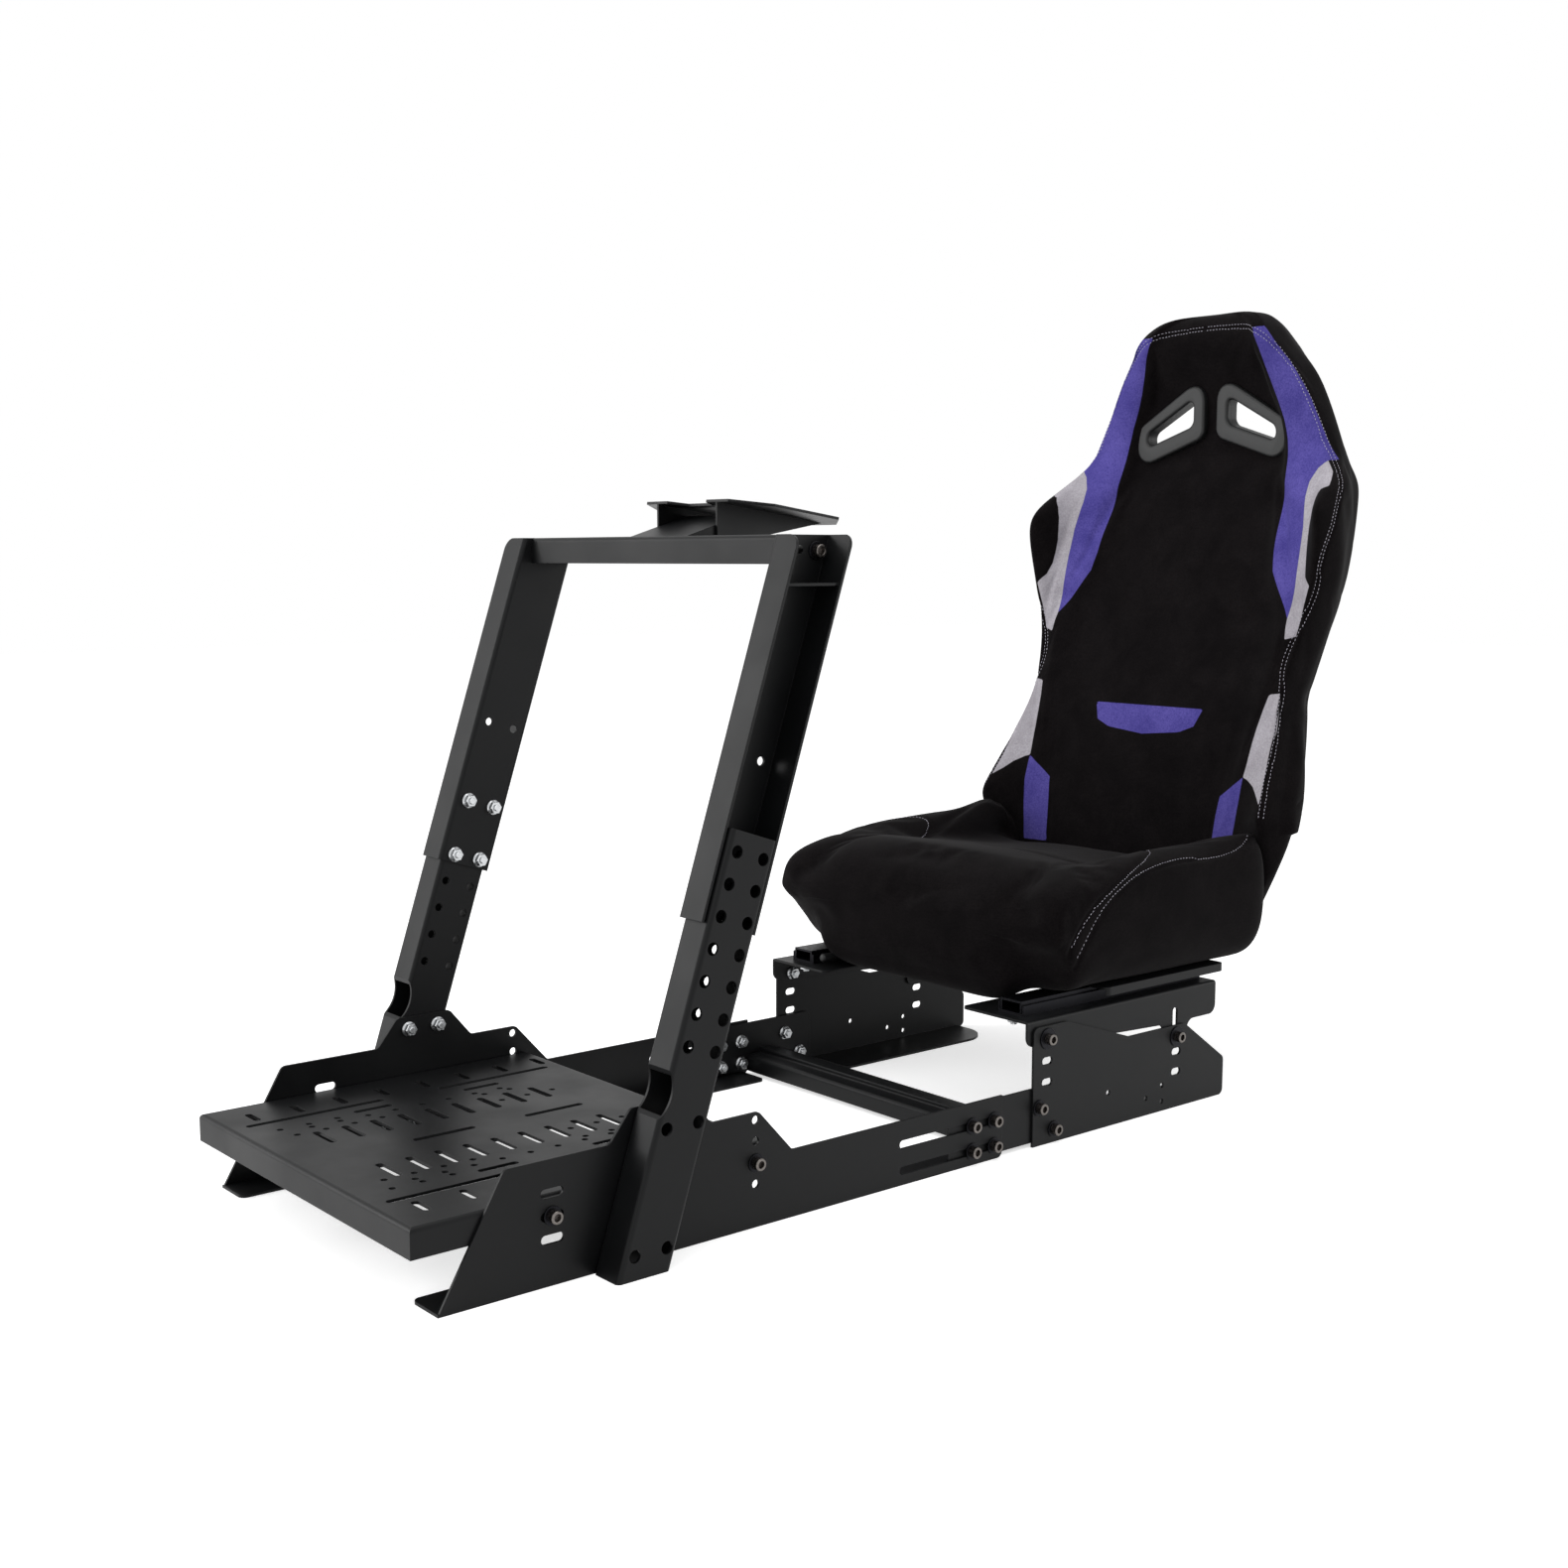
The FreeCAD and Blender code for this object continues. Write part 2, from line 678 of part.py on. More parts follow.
def upper_upright():
    body = new_body("left_upper_upright", along="post_foot", lean="post_lean")
    inner = "frame_width / 2 - plate"
    outer = "frame_width / 2 - plate + upper_depth"
    section = new_sketch(body, "XY_Plane", "upper_start")
    draw_outline(section, [
        (inner, "-upper_width / 2", "bend_radius"),
        (outer, "-upper_width / 2"),
        (outer, "-upper_width / 2 + plate"),
        (inner + " + plate", "-upper_width / 2 + plate"),
        (inner + " + plate", "upper_width / 2 - plate"),
        (outer, "upper_width / 2 - plate"),
        (outer, "upper_width / 2"),
        (inner, "upper_width / 2", "bend_radius"),
    ])
    add_pad(body, section, "(post_top + upper_width) / cos(post_lean) - upper_start")
    level = "(post_top %s upper_width * sin(post_lean)) / cos(post_lean)"
    waste = new_sketch(body, "YZ_Plane")
    draw_outline(waste, [
        ("-upper_width", level % "-"), ("upper_width", level % "+"),
        ("upper_width", "2 * post_top"), ("-upper_width", "2 * post_top"),
    ])
    add_cut(body, waste)
    for sign, forwards in (("-", True), ("+", False)):
        tip = level.replace("upper_width", "upper_width / 2") % sign
        corner = new_sketch(body, "XZ_Plane")
        draw_outline(corner, [
            (outer, tip + " - 2 * flange_round"),
            (outer, tip, "flange_round"),
            (outer + " - 2 * flange_round", tip),
            (outer + " - 2 * flange_round", tip + " + upper_width"),
            (outer + " + plate", tip + " + upper_width"),
            (outer + " + plate", tip + " - 2 * flange_round"),
        ])
        add_cut(body, corner, "upper_width", backwards=forwards)
    gusset = new_sketch(body, "YZ_Plane", inner)
    shelf = "(gusset_height %s (upper_width / 2 - plate) * sin(post_lean)) / cos(post_lean)"
    draw_outline(gusset, [
        ("-upper_width / 2 + plate", shelf % "-"), ("upper_width / 2 - plate", shelf % "+"),
        ("upper_width / 2 - plate", shelf % "+" + " + plate"),
        ("-upper_width / 2 + plate", shelf % "-" + " + plate"),
    ])
    add_pad(body, gusset, "upper_depth - plate")
    holes = new_sketch(body, "YZ_Plane")
    for rise in ("0", "-2 * row_pitch", "spare_row"):
        for side_sign in ("-", ""):
            height = "lower_length - first_row + " + rise
            draw_hole(holes, side_sign + "column_gap / 2", height, "bolt_hole")
    for along in ("bar_bolt", "bar_pivot"):
        offset = "(%s - post_foot)" % along
        height = "(post_top - bar_height / 2)"
        across = "%s * cos(post_lean) - %s * sin(post_lean)" % (offset, height)
        up = "%s * sin(post_lean) + %s * cos(post_lean)" % (offset, height)
        draw_hole(holes, across, up, "bolt_hole")
    add_cut(body, holes)
    mirrored(body, "right_upper_upright")


# Wheel crossbar and wheel deck

def wheel_crossbar():
    body = new_body("wheel_crossbar", along="bar_front", up="post_top - bar_height")
    section = new_sketch(body, "YZ_Plane")
    draw_outline(section, [
        ("0", "0"), ("plate", "0"),
        ("plate", "bar_height - plate"), ("bar_depth - plate", "bar_height - plate"),
        ("bar_depth - plate", "0"), ("bar_depth", "0"), ("bar_depth", "bar_height", "bend_radius"),
        ("0", "bar_height", "bend_radius"),
    ])
    add_pad(body, section, "frame_width - 2 * plate", both_ways=True)
    for start in ("frame_width / 2 - 2 * plate", "-frame_width / 2 + plate"):
        end = new_sketch(body, "YZ_Plane", start)
        draw_outline(end, [
            ("plate", "0"), ("bar_depth - plate", "0"),
            ("bar_depth - plate", "bar_height - plate"), ("plate", "bar_height - plate"),
        ])
        add_pad(body, end, "plate")
    holes = new_sketch(body, "YZ_Plane")
    for along in ("bar_bolt", "bar_pivot"):
        draw_hole(holes, along + " - bar_front", "bar_height / 2", "bolt_hole")
    add_cut(body, holes)


def wheel_deck_support():
    body = new_body("wheel_deck_support", along="support_front", up="post_top")
    wedge = new_sketch(body, "YZ_Plane")
    draw_outline(wedge, [
        ("0", "0"), ("support_length", "0"), ("support_length", "support_length * tan(support_slope)"),
    ])
    add_pad(body, wedge, "support_width", both_ways=True)
    hollow = new_sketch(body, "YZ_Plane", "-support_width / 2 + plate")
    start = "plate / sin(support_slope)"
    draw_outline(hollow, [
        (start, "0"), ("support_length + plate", "0"),
        ("support_length + plate", "(support_length + plate - %s) * tan(support_slope)" % start),
    ])
    add_cut(body, hollow, "support_width - 2 * plate", backwards=True)


def wheel_deck():
    body = new_body("wheel_deck", along="wheel_front", up="wheel_height", lean="wheel_tilt")
    top = new_sketch(body, "XY_Plane", "-plate")
    draw_outline(top, [
        ("-wheel_nose / 2", "0"), ("-wheel_notch_mouth / 2", "0"),
        ("-wheel_notch_floor / 2", "wheel_notch_depth"), ("wheel_notch_floor / 2", "wheel_notch_depth"),
        ("wheel_notch_mouth / 2", "0"), ("wheel_nose / 2", "0"),
        ("wheel_width / 2", "wheel_front_chamfer"),
        ("wheel_width / 2", "wheel_length - wheel_rear_chamfer"),
        ("wheel_rear_width / 2", "wheel_length"), ("-wheel_rear_width / 2", "wheel_length"),
        ("-wheel_width / 2", "wheel_length - wheel_rear_chamfer"),
        ("-wheel_width / 2", "wheel_front_chamfer"),
    ])
    add_pad(body, top, "plate")
    drop = "(wheel_height - post_top)"
    web_corners = [
        ("0", "-plate / 2"),
        (drop + " * sin(wheel_tilt)", "-%s * cos(wheel_tilt)" % drop),
        (drop + " * sin(wheel_tilt) + wheel_web_foot * cos(wheel_tilt)",
         "-%s * cos(wheel_tilt) + wheel_web_foot * sin(wheel_tilt)" % drop),
        ("wheel_web_length", "-plate"), ("wheel_web_length", "-plate / 2"),
    ]
    for start in ("support_width / 2 + web_gap", "-support_width / 2 - web_gap - plate"):
        web = new_sketch(body, "YZ_Plane", start)
        draw_outline(web, web_corners)
        add_pad(body, web, "plate")
    holes = new_sketch(body, "XY_Plane")
    for side_sign in ("-", ""):
        for step in (0, 1):
            along = "wheel_hole_front + %d * wheel_hole_pitch" % step
            draw_hole(holes, side_sign + "wheel_hole_gap / 2", along, "wheel_hole")
    add_cut(body, holes)


# Middle of the frame

def middle_plate():
    body = new_body("left_mid_plate", up="mid_lift")
    side = new_sketch(body, "YZ_Plane", "frame_width / 2 - 2 * plate")
    draw_outline(side, [
        ("mid_front", "0", "corner_radius"), ("mid_rear", "0", "corner_radius"),
        ("mid_rear", "mid_height", "corner_radius"), ("mid_front", "mid_height", "corner_radius"),
    ])
    add_pad(body, side, "plate")
    holes = new_sketch(body, "YZ_Plane")
    for along in ("mid_bolt_front", "mid_bolt_rear"):
        for height in ("low_bolt_height", "high_bolt_height"):
            draw_hole(holes, along, height + " - mid_lift", "bolt_hole")
    draw_hole(holes, "join_bolt_front", "high_bolt_height - mid_lift", "bolt_hole")
    draw_hole(holes, "join_bolt_rear", "low_bolt_height - mid_lift", "bolt_hole")
    add_cut(body, holes)
    mirrored(body, "right_mid_plate")


def cross_member():
    body = new_body("cross_member", along="cross_front", up="mid_lift")
    section = new_sketch(body, "YZ_Plane")
    rib_end = "rib_start + rib_width"
    crest = "cross_lip + rib_rise"
    draw_outline(section, [
        ("0", "0"), ("plate", "0"),
        ("plate", "cross_lip - plate"), ("rib_start + plate", "cross_lip - plate"),
        ("rib_start + plate", crest + " - plate"), (rib_end + " - plate", crest + " - plate"),
        (rib_end + " - plate", "cross_lip - plate"), ("cross_depth - plate", "cross_lip - plate"),
        ("cross_depth - plate", "0"), ("cross_depth", "0"), ("cross_depth", "cross_lip", "bend_radius"),
        (rib_end, "cross_lip"), (rib_end, crest), ("rib_start", crest), ("rib_start", "cross_lip"),
        ("0", "cross_lip", "bend_radius"),
    ])
    add_pad(body, section, "frame_width - 4 * plate", both_ways=True)
    sides = (number("rib_start"), number(rib_end))
    lip = number("cross_lip")
    add_round_edges(body, "rib_round", lambda a, b: level_with(a.z, b.z) and a.z > lip - 0.01
                    and level_with(a.y, b.y)
                    and (level_with(a.y, sides[0]) or level_with(a.y, sides[1])))


# Seat mounting

def seat_side_plate():
    body = new_body("left_seat_side_plate")
    side = new_sketch(body, "YZ_Plane", "frame_width / 2 - plate")
    draw_outline(side, [
        ("seat_plate_front", "0"), ("seat_plate_rear", "0", "corner_radius"),
        ("seat_plate_rear", "seat_plate_tail", "corner_radius"),
        ("seat_plate_chamfer", "seat_plate_low", "corner_radius"), ("seat_plate_dip", "seat_plate_low"),
        ("seat_plate_shoulder", "seat_plate_height", "corner_radius"),
        ("seat_plate_front", "seat_plate_height", "corner_radius"),
    ])
    add_pad(body, side, "plate")
    flange = new_sketch(body, "XY_Plane")
    inner = "frame_width / 2 - seat_flange"
    draw_outline(flange, [
        (inner, "seat_flange_front", "corner_radius"),
        ("frame_width / 2", "seat_flange_front"),
        ("frame_width / 2", "seat_flange_rear"),
        (inner, "seat_flange_rear", "seat_flange_round"),
    ])
    add_pad(body, flange, "plate")
    holes = new_sketch(body, "YZ_Plane")
    half = "(slot_length - slot_width) / 2"
    for along, height in (("seat_bolt_front", "front_slot_height"), ("seat_bolt_rear", "rear_slot_height")):
        for step in (0, 1):
            up = "%s + %d * slot_pitch" % (height, step)
            draw_slot(holes, [(along + " - " + half, up), (along + " + " + half, up)], "slot_width")
        draw_hole(holes, along, height + " + 2 * slot_pitch", "bolt_hole")
    draw_hole(holes, "join_bolt_front", "high_bolt_height", "bolt_hole")
    draw_hole(holes, "join_bolt_rear", "low_bolt_height", "bolt_hole")
    draw_hole(holes, "tie_front", "tie_front_height", "tie_hole")
    draw_hole(holes, "tie_middle", "tie_middle_height", "tie_hole")
    draw_hole(holes, "tie_rear", "tie_rear_high", "tie_hole")
    draw_hole(holes, "tie_rear", "tie_rear_low", "tie_hole")
    add_cut(body, holes)
    mirrored(body, "right_seat_side_plate")


def seat_bracket():
    body = new_body("left_seat_bracket", up="bracket_top")
    side = new_sketch(body, "YZ_Plane", "frame_width / 2 - 2 * plate")
    draw_outline(side, [
        ("bracket_front", "0"), ("bracket_front", "-bracket_drop_front", "bracket_round"),
        ("bracket_tab_front", "-bracket_drop_rear", "corner_radius"),
        ("bracket_tab_front", "-bracket_tab", "corner_radius"),
        ("bracket_tab_rear", "-bracket_tab", "corner_radius"),
        ("bracket_tab_rear", "-bracket_drop_rear", "bracket_round"),
        ("bracket_rear", "-bracket_drop_rear", "bracket_round"), ("bracket_rear", "0"),
    ])
    add_pad(body, side, "plate")
    flange = new_sketch(body, "XY_Plane", "-plate")
    outer = "frame_width / 2 - plate"
    inner = "frame_width / 2 - plate - bracket_flange"
    draw_outline(flange, [
        (inner, "bracket_front", "corner_radius"), (outer, "bracket_front"),
        (outer, "bracket_rear"), (inner, "bracket_rear", "corner_radius"),
    ])
    add_pad(body, flange, "plate")
    bend = number(outer)
    add_round_edges(body, "bend_radius - plate / 2", lambda a, b: level_with(a.x, bend)
                    and level_with(b.x, bend) and level_with(a.z, 0) and level_with(b.z, 0))
    holes = new_sketch(body, "YZ_Plane")
    draw_hole(holes, "seat_bolt_front", "front_slot_height + 2 * slot_pitch - bracket_top", "bolt_hole")
    low = "rear_slot_height + 2 * slot_pitch - bracket_top"
    draw_slot(holes, [("seat_bolt_rear", low), ("seat_bolt_rear", low + " + slot_pitch")], "slot_width")
    add_cut(body, holes)
    mirrored(body, "right_seat_bracket")


def seat_slides():
    lower = new_body("left_lower_slide", along="slide_front", up="bracket_top")
    section = new_sketch(lower, "XZ_Plane")
    near = "base_width / 2 - slide_inset - slide_width / 2"
    far = "base_width / 2 - slide_inset + slide_width / 2"
    draw_outline(section, [
        (near, "0"), (far, "0"), (far, "lower_slide_height"), (far + " - slide_wall", "lower_slide_height"),
        (far + " - slide_wall", "slide_wall"), (near + " + slide_wall", "slide_wall"),
        (near + " + slide_wall", "lower_slide_height"), (near, "lower_slide_height"),
    ])
    add_pad(lower, section, "slide_length", backwards=True)
    mirrored(lower, "right_lower_slide")
    upper = new_body("left_upper_slide", along="slide_front", up="bracket_top")
    section = new_sketch(upper, "XZ_Plane")
    near += " + slide_wall + slide_side_gap"
    far += " - slide_wall - slide_side_gap"
    foot = "slide_wall + slide_seat_gap"
    draw_outline(section, [
        (near, foot), (near + " + slide_wall", foot),
        (near + " + slide_wall", "upper_slide_height - slide_wall"),
        (far + " - slide_wall", "upper_slide_height - slide_wall"),
        (far + " - slide_wall", foot), (far, foot),
        (far, "upper_slide_height"), (near, "upper_slide_height"),
    ])
    add_pad(upper, section, "slide_length", backwards=True)
    mirrored(upper, "right_upper_slide")


LEVER_LINE = "-(base_width / 2 - slide_inset - lever_inset)"


def seat_base():
    body = new_body("seat_base", up="bracket_top + upper_slide_height")
    plan = new_sketch(body, "XY_Plane", "-base_lip")
    draw_outline(plan, [
        ("-base_width / 2", "base_front", "corner_radius"),
        ("base_width / 2", "base_front", "corner_radius"),
        ("base_width / 2", "base_rear", "corner_radius"), ("-base_width / 2", "base_rear", "corner_radius"),
    ])
    add_pad(body, plan, "base_lip + plate")
    hollow = new_sketch(body, "XY_Plane", "-base_lip")
    wall = "(base_width / 2 - plate)"
    draw_outline(hollow, [
        ("-" + wall, "base_front - corner_radius"), (wall, "base_front - corner_radius"),
        (wall, "base_rear + corner_radius"), ("-" + wall, "base_rear + corner_radius"),
    ])
    add_cut(body, hollow, "base_lip", backwards=True)
    outer_lug = LEVER_LINE + " - lever_hub_width / 2 - soft_gap - plate"
    for start in (outer_lug, LEVER_LINE + " + lever_hub_width / 2 + soft_gap"):
        lug = new_sketch(body, "YZ_Plane", start)
        draw_outline(lug, [
            ("lever_pivot - lever_lug / 2", "plate / 2"),
            ("lever_pivot - lever_lug / 2", "-lever_lug_drop", "bend_radius"),
            ("lever_pivot + lever_lug / 2", "-lever_lug_drop", "bend_radius"),
            ("lever_pivot + lever_lug / 2", "plate / 2"),
        ])
        add_pad(body, lug, "plate")
    pin = new_sketch(body, "YZ_Plane", outer_lug)
    draw_hole(pin, "lever_pivot", "-lever_drop", "lever_pin")
    add_pad(body, pin, "lever_hub_width + 2 * soft_gap + 2 * plate")


def slider_lever():
    body = new_body("slider_lever", along="lever_pivot", up="bracket_top + upper_slide_height - lever_drop")
    hub = new_sketch(body, "YZ_Plane", LEVER_LINE)
    draw_hole(hub, "0", "0", "lever_hub")
    add_pad(body, hub, "lever_hub_width", both_ways=True)
    rod = new_sketch(body, "XZ_Plane")
    draw_hole(rod, LEVER_LINE, "0", "lever_rod")
    add_pad(body, rod, "lever_reach")
    bore = new_sketch(body, "YZ_Plane", LEVER_LINE)
    draw_hole(bore, "0", "0", "lever_pin + 2 * lever_pin_gap")
    add_cut(body, bore)
    level = "bracket_top + upper_slide_height - lever_drop"
    grip = new_body("lever_grip", along="lever_pivot - lever_reach", up=level)
    sleeve = new_sketch(grip, "XZ_Plane")
    draw_hole(sleeve, LEVER_LINE, "0", "grip_diameter")
    add_pad(grip, sleeve, "grip_length")
    front = -number("grip_length")
    add_round_edges(grip, "grip_diameter / 3", lambda a, b: level_with(a.y, front))


# Upholstered seat

CUSHION_BOTTOM = "bracket_top + upper_slide_height + plate + soft_gap"


def seat_cushion():
    stations = [
        ("cushion_front", "cushion_lip + nose_round", "keel_low + nose_round",
         "cushion_top - nose_roll", "bolster_front - nose_roll"),
        ("cushion_front + nose_round", "cushion_lip", "keel_low",
         "cushion_top - nose_round", "bolster_front - nose_round"),
        ("cushion_front + nose_roll", CUSHION_BOTTOM + " + nose_round", "keel_low",
         "cushion_top", "bolster_front"),
        ("cushion_shoulder", CUSHION_BOTTOM, CUSHION_BOTTOM, "cushion_top", "bolster_front"),
        ("(cushion_shoulder + back_front) / 2", CUSHION_BOTTOM, CUSHION_BOTTOM,
         "cushion_sag", "bolster_middle"),
        ("hip_bolster", CUSHION_BOTTOM, CUSHION_BOTTOM, "cushion_sag", "bolster_rear"),
        ("back_front - soft_gap", CUSHION_BOTTOM, CUSHION_BOTTOM, "cushion_sag", "root_height"),
    ]
    pad = new_body("seat_cushion")
    bolster = new_body("left_cushion_bolster")
    pad_sections = []
    bolster_sections = []
    half = "cushion_pad_width / 2"
    for along, low, keel, top, side_top in stations:
        sketch = new_sketch(pad, "XZ_Plane", "-(%s)" % along)
        draw_outline(sketch, [
            ("-keel_width / 2", keel), ("keel_width / 2", keel), (half, low),
            (half, top), ("-" + half, top), ("-" + half, low),
        ])
        pad_sections.append(sketch)
        sketch = new_sketch(bolster, "XZ_Plane", "-(%s)" % along)
        inner = half + " + soft_gap"
        outer = "base_width / 2 + cushion_overhang"
        draw_outline(sketch, [
            (inner, low), ("base_width / 2 - cushion_inset", low), (outer, "cushion_waist"),
            (outer + " - nose_round", side_top), (inner + " + nose_round", side_top), (inner, top),
        ])
        bolster_sections.append(sketch)
    add_loft(pad, pad_sections)
    add_loft(bolster, bolster_sections)
    mirrored(bolster, "right_cushion_bolster")


BELT_OPENING = [
    ("belt_inner", "belt_top", "belt_round"), ("belt_inner", "belt_inner_low", "belt_round"),
    ("belt_base", "belt_low", "belt_round"), ("belt_outer", "belt_side", "belt_round"),
]
BELT_RIM = [
    ("rim_inner", "rim_inner_top", "rim_round"), ("rim_inner", "rim_inner_low", "rim_round"),
    ("rim_base", "rim_low", "rim_round"), ("rim_outer", "rim_side", "rim_round"),
    ("rim_shoulder", "rim_shoulder_height", "rim_round"), ("rim_peak", "rim_top", "rim_round"),
]


def seat_back():
    pad = new_body("seat_back")
    bolster = new_body("left_back_bolster")
    pad_sections = []
    bolster_sections = []
    for level in BACK_LEVELS:
        outer = level + "_half_width"
        half = level + "_pad_half"
        front = level + "_pad_front"
        bolster_front = level + "_bolster"
        rear = level + "_rear"
        height = level + "_height"
        sketch = new_sketch(pad, "XY_Plane", height)
        draw_outline(sketch, [("-" + half, front), (half, front), (half, rear), ("-" + half, rear)])
        pad_sections.append(sketch)
        sketch = new_sketch(bolster, "XY_Plane", height)
        inner = half + " + soft_gap"
        depth = "(%s - %s)" % (rear, bolster_front)
        draw_outline(sketch, [
            (inner, front), ("%s + (%s - %s) / 4" % (half, outer, half), bolster_front),
            (outer, "%s + %s / 8" % (bolster_front, depth)), (outer, level + "_side"), (inner, rear),
        ])
        bolster_sections.append(sketch)
    add_loft(pad, pad_sections)
    add_loft(bolster, bolster_sections)
    for sign in ("", "-"):
        belt = new_sketch(pad, "XZ_Plane")
        draw_outline(belt, [(sign + x, z, radius) for x, z, radius in BELT_OPENING])
        add_cut(pad, belt)
    mirrored(bolster, "right_back_bolster")


def harness_bezel():
    body = new_body("left_harness_bezel")
    rim = new_sketch(body, "XZ_Plane", "-(slots_pad_front - soft_gap)")
    draw_outline(rim, BELT_RIM)
    add_pad(body, rim, "bezel_depth")
    opening = new_sketch(body, "XZ_Plane")
    draw_outline(opening, BELT_OPENING)
    add_cut(body, opening)
    mirrored(body, "right_harness_bezel")


def check_and_export():
    """Stop on any failed object, then write each sub-part to its own file."""
    doc.recompute()
    failed = [item.Name for item in doc.Objects if "Invalid" in item.State or "Error" in item.State]
    if failed:
        raise RuntimeError("failed objects: " + ", ".join(failed))
    os.makedirs("parts", exist_ok=True)
    for item in finished:
        shape = item.Shape
        if shape.isNull() or not shape.isValid() or not shape.Solids:
            raise RuntimeError("bad shape: " + item.Label)
        shape.exportStep("parts/%s.step" % item.Label)


fill_sheet()
front_side_plate()
pedal_deck()
lower_upright()
upper_upright()
wheel_crossbar()
wheel_deck_support()
wheel_deck()
middle_plate()
cross_member()
seat_side_plate()
seat_bracket()
seat_slides()
seat_base()
slider_lever()
seat_cushion()
seat_back()
harness_bezel()
check_and_export()
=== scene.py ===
import json
import math
import bmesh
import bpy
import numpy as np
from mathutils import Matrix, Vector
from mathutils.bvhtree import BVHTree
from mathutils.kdtree import KDTree


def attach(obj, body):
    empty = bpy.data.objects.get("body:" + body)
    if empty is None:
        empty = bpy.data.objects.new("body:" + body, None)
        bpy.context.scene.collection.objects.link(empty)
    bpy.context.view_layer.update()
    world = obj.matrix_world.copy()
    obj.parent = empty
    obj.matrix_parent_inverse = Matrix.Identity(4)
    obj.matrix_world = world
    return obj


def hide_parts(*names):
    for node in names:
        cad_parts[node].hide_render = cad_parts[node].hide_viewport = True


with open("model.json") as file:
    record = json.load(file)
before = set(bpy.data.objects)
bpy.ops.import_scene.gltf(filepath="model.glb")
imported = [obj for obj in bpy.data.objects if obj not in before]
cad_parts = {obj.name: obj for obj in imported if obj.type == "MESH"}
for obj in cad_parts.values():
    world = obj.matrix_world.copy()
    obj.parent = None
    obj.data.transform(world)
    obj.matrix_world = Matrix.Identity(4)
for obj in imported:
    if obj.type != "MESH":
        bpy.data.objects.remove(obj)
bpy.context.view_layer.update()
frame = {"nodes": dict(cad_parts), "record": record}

# Places are in millimetres on the frame's own datum; the centred model lies 46 mm further forward.
DATUM_SHIFT = 46.0
MM = 0.001


def at(x, y, z):
    """A place on the frame's datum, in the model's metres."""
    return Vector((x * MM, (y - DATUM_SHIFT) * MM, z * MM))


# Materials

def linear(code):
    """A hex colour as it is seen, turned to the linear values that the shaders take."""
    parts = [int(code[i:i + 2], 16) / 255 for i in (1, 3, 5)]
    return tuple(c / 12.92 if c <= 0.04045 else ((c + 0.055) / 1.055) ** 2.4 for c in parts) + (1.0,)


def per_mm(size):
    """The texture scale at which one cell of a pattern measures so many millimetres."""
    return 1000.0 / size


def add_node(tree, kind, inputs=None, **settings):
    """One node with its settings, its plain values and the links that come into it."""
    node = tree.nodes.new(kind)
    for key, value in settings.items():
        setattr(node, key, value)
    for key, value in (inputs or {}).items():
        if isinstance(value, bpy.types.NodeSocket):
            tree.links.new(value, node.inputs[key])
        else:
            node.inputs[key].default_value = value
    return node


def new_material(name):
    """An empty material, its tree, its principled shader and the object coordinates."""
    material = bpy.data.materials.new(name)
    material.use_nodes = True
    tree = material.node_tree
    shader = tree.nodes["Principled BSDF"]
    place = add_node(tree, "ShaderNodeTexCoord").outputs["Object"]
    return material, tree, shader, place


def black_powder_coat():
    # Polyester powder coat, sprayed on sheet steel and baked: satin, a faint orange peel about 1.5 mm wide,
    # cloudy gloss from uneven film, and edges rubbed a little smoother.
    material, tree, shader, place = new_material("black_powder_coat")
    peel = add_node(tree, "ShaderNodeTexNoise", {"Vector": place, "Scale": per_mm(1.5), "Detail": 2.0})
    cloud = add_node(tree, "ShaderNodeTexNoise", {"Vector": place, "Scale": per_mm(70), "Detail": 3.0})
    rounded = add_node(tree, "ShaderNodeBevel", {"Radius": 0.9 * MM}, samples=4)
    bump = add_node(tree, "ShaderNodeBump", {
        "Height": peel.outputs["Fac"], "Normal": rounded.outputs["Normal"],
        "Strength": 0.12, "Distance": 0.05 * MM,
    })
    tone = add_node(tree, "ShaderNodeMix", {
        "Factor": cloud.outputs["Fac"], "A": linear("#0b0b0c"), "B": linear("#131415"),
    }, data_type="RGBA")
    gloss = add_node(tree, "ShaderNodeMapRange", {
        "Value": cloud.outputs["Fac"], "From Min": 0.3, "From Max": 0.7, "To Min": 0.36, "To Max": 0.46,
    })
    tree.links.new(tone.outputs["Result"], shader.inputs["Base Color"])
    tree.links.new(gloss.outputs["Result"], shader.inputs["Roughness"])
    tree.links.new(bump.outputs["Normal"], shader.inputs["Normal"])
    shader.inputs["Specular IOR Level"].default_value = 0.15
    return material


def suede_tones(tree, place):
    """How far the nap is turned at each spot: streaks about 2 mm wide inside patches some 45 mm across."""
    nap = add_node(tree, "ShaderNodeTexNoise", {"Vector": place, "Scale": per_mm(2.2), "Detail": 4.0})
    patch = add_node(tree, "ShaderNodeTexNoise", {
        "Vector": place, "Scale": per_mm(45), "Detail": 5.0, "Roughness": 0.62, "Distortion": 0.4,
    })
    both = add_node(tree, "ShaderNodeMath", {0: nap.outputs["Fac"], 1: patch.outputs["Fac"]},
                    operation="MULTIPLY")
    turned = add_node(tree, "ShaderNodeMapRange", {
        "Value": both.outputs["Value"], "From Min": 0.14, "From Max": 0.42,
    })
    return nap.outputs["Fac"], turned.outputs["Result"]


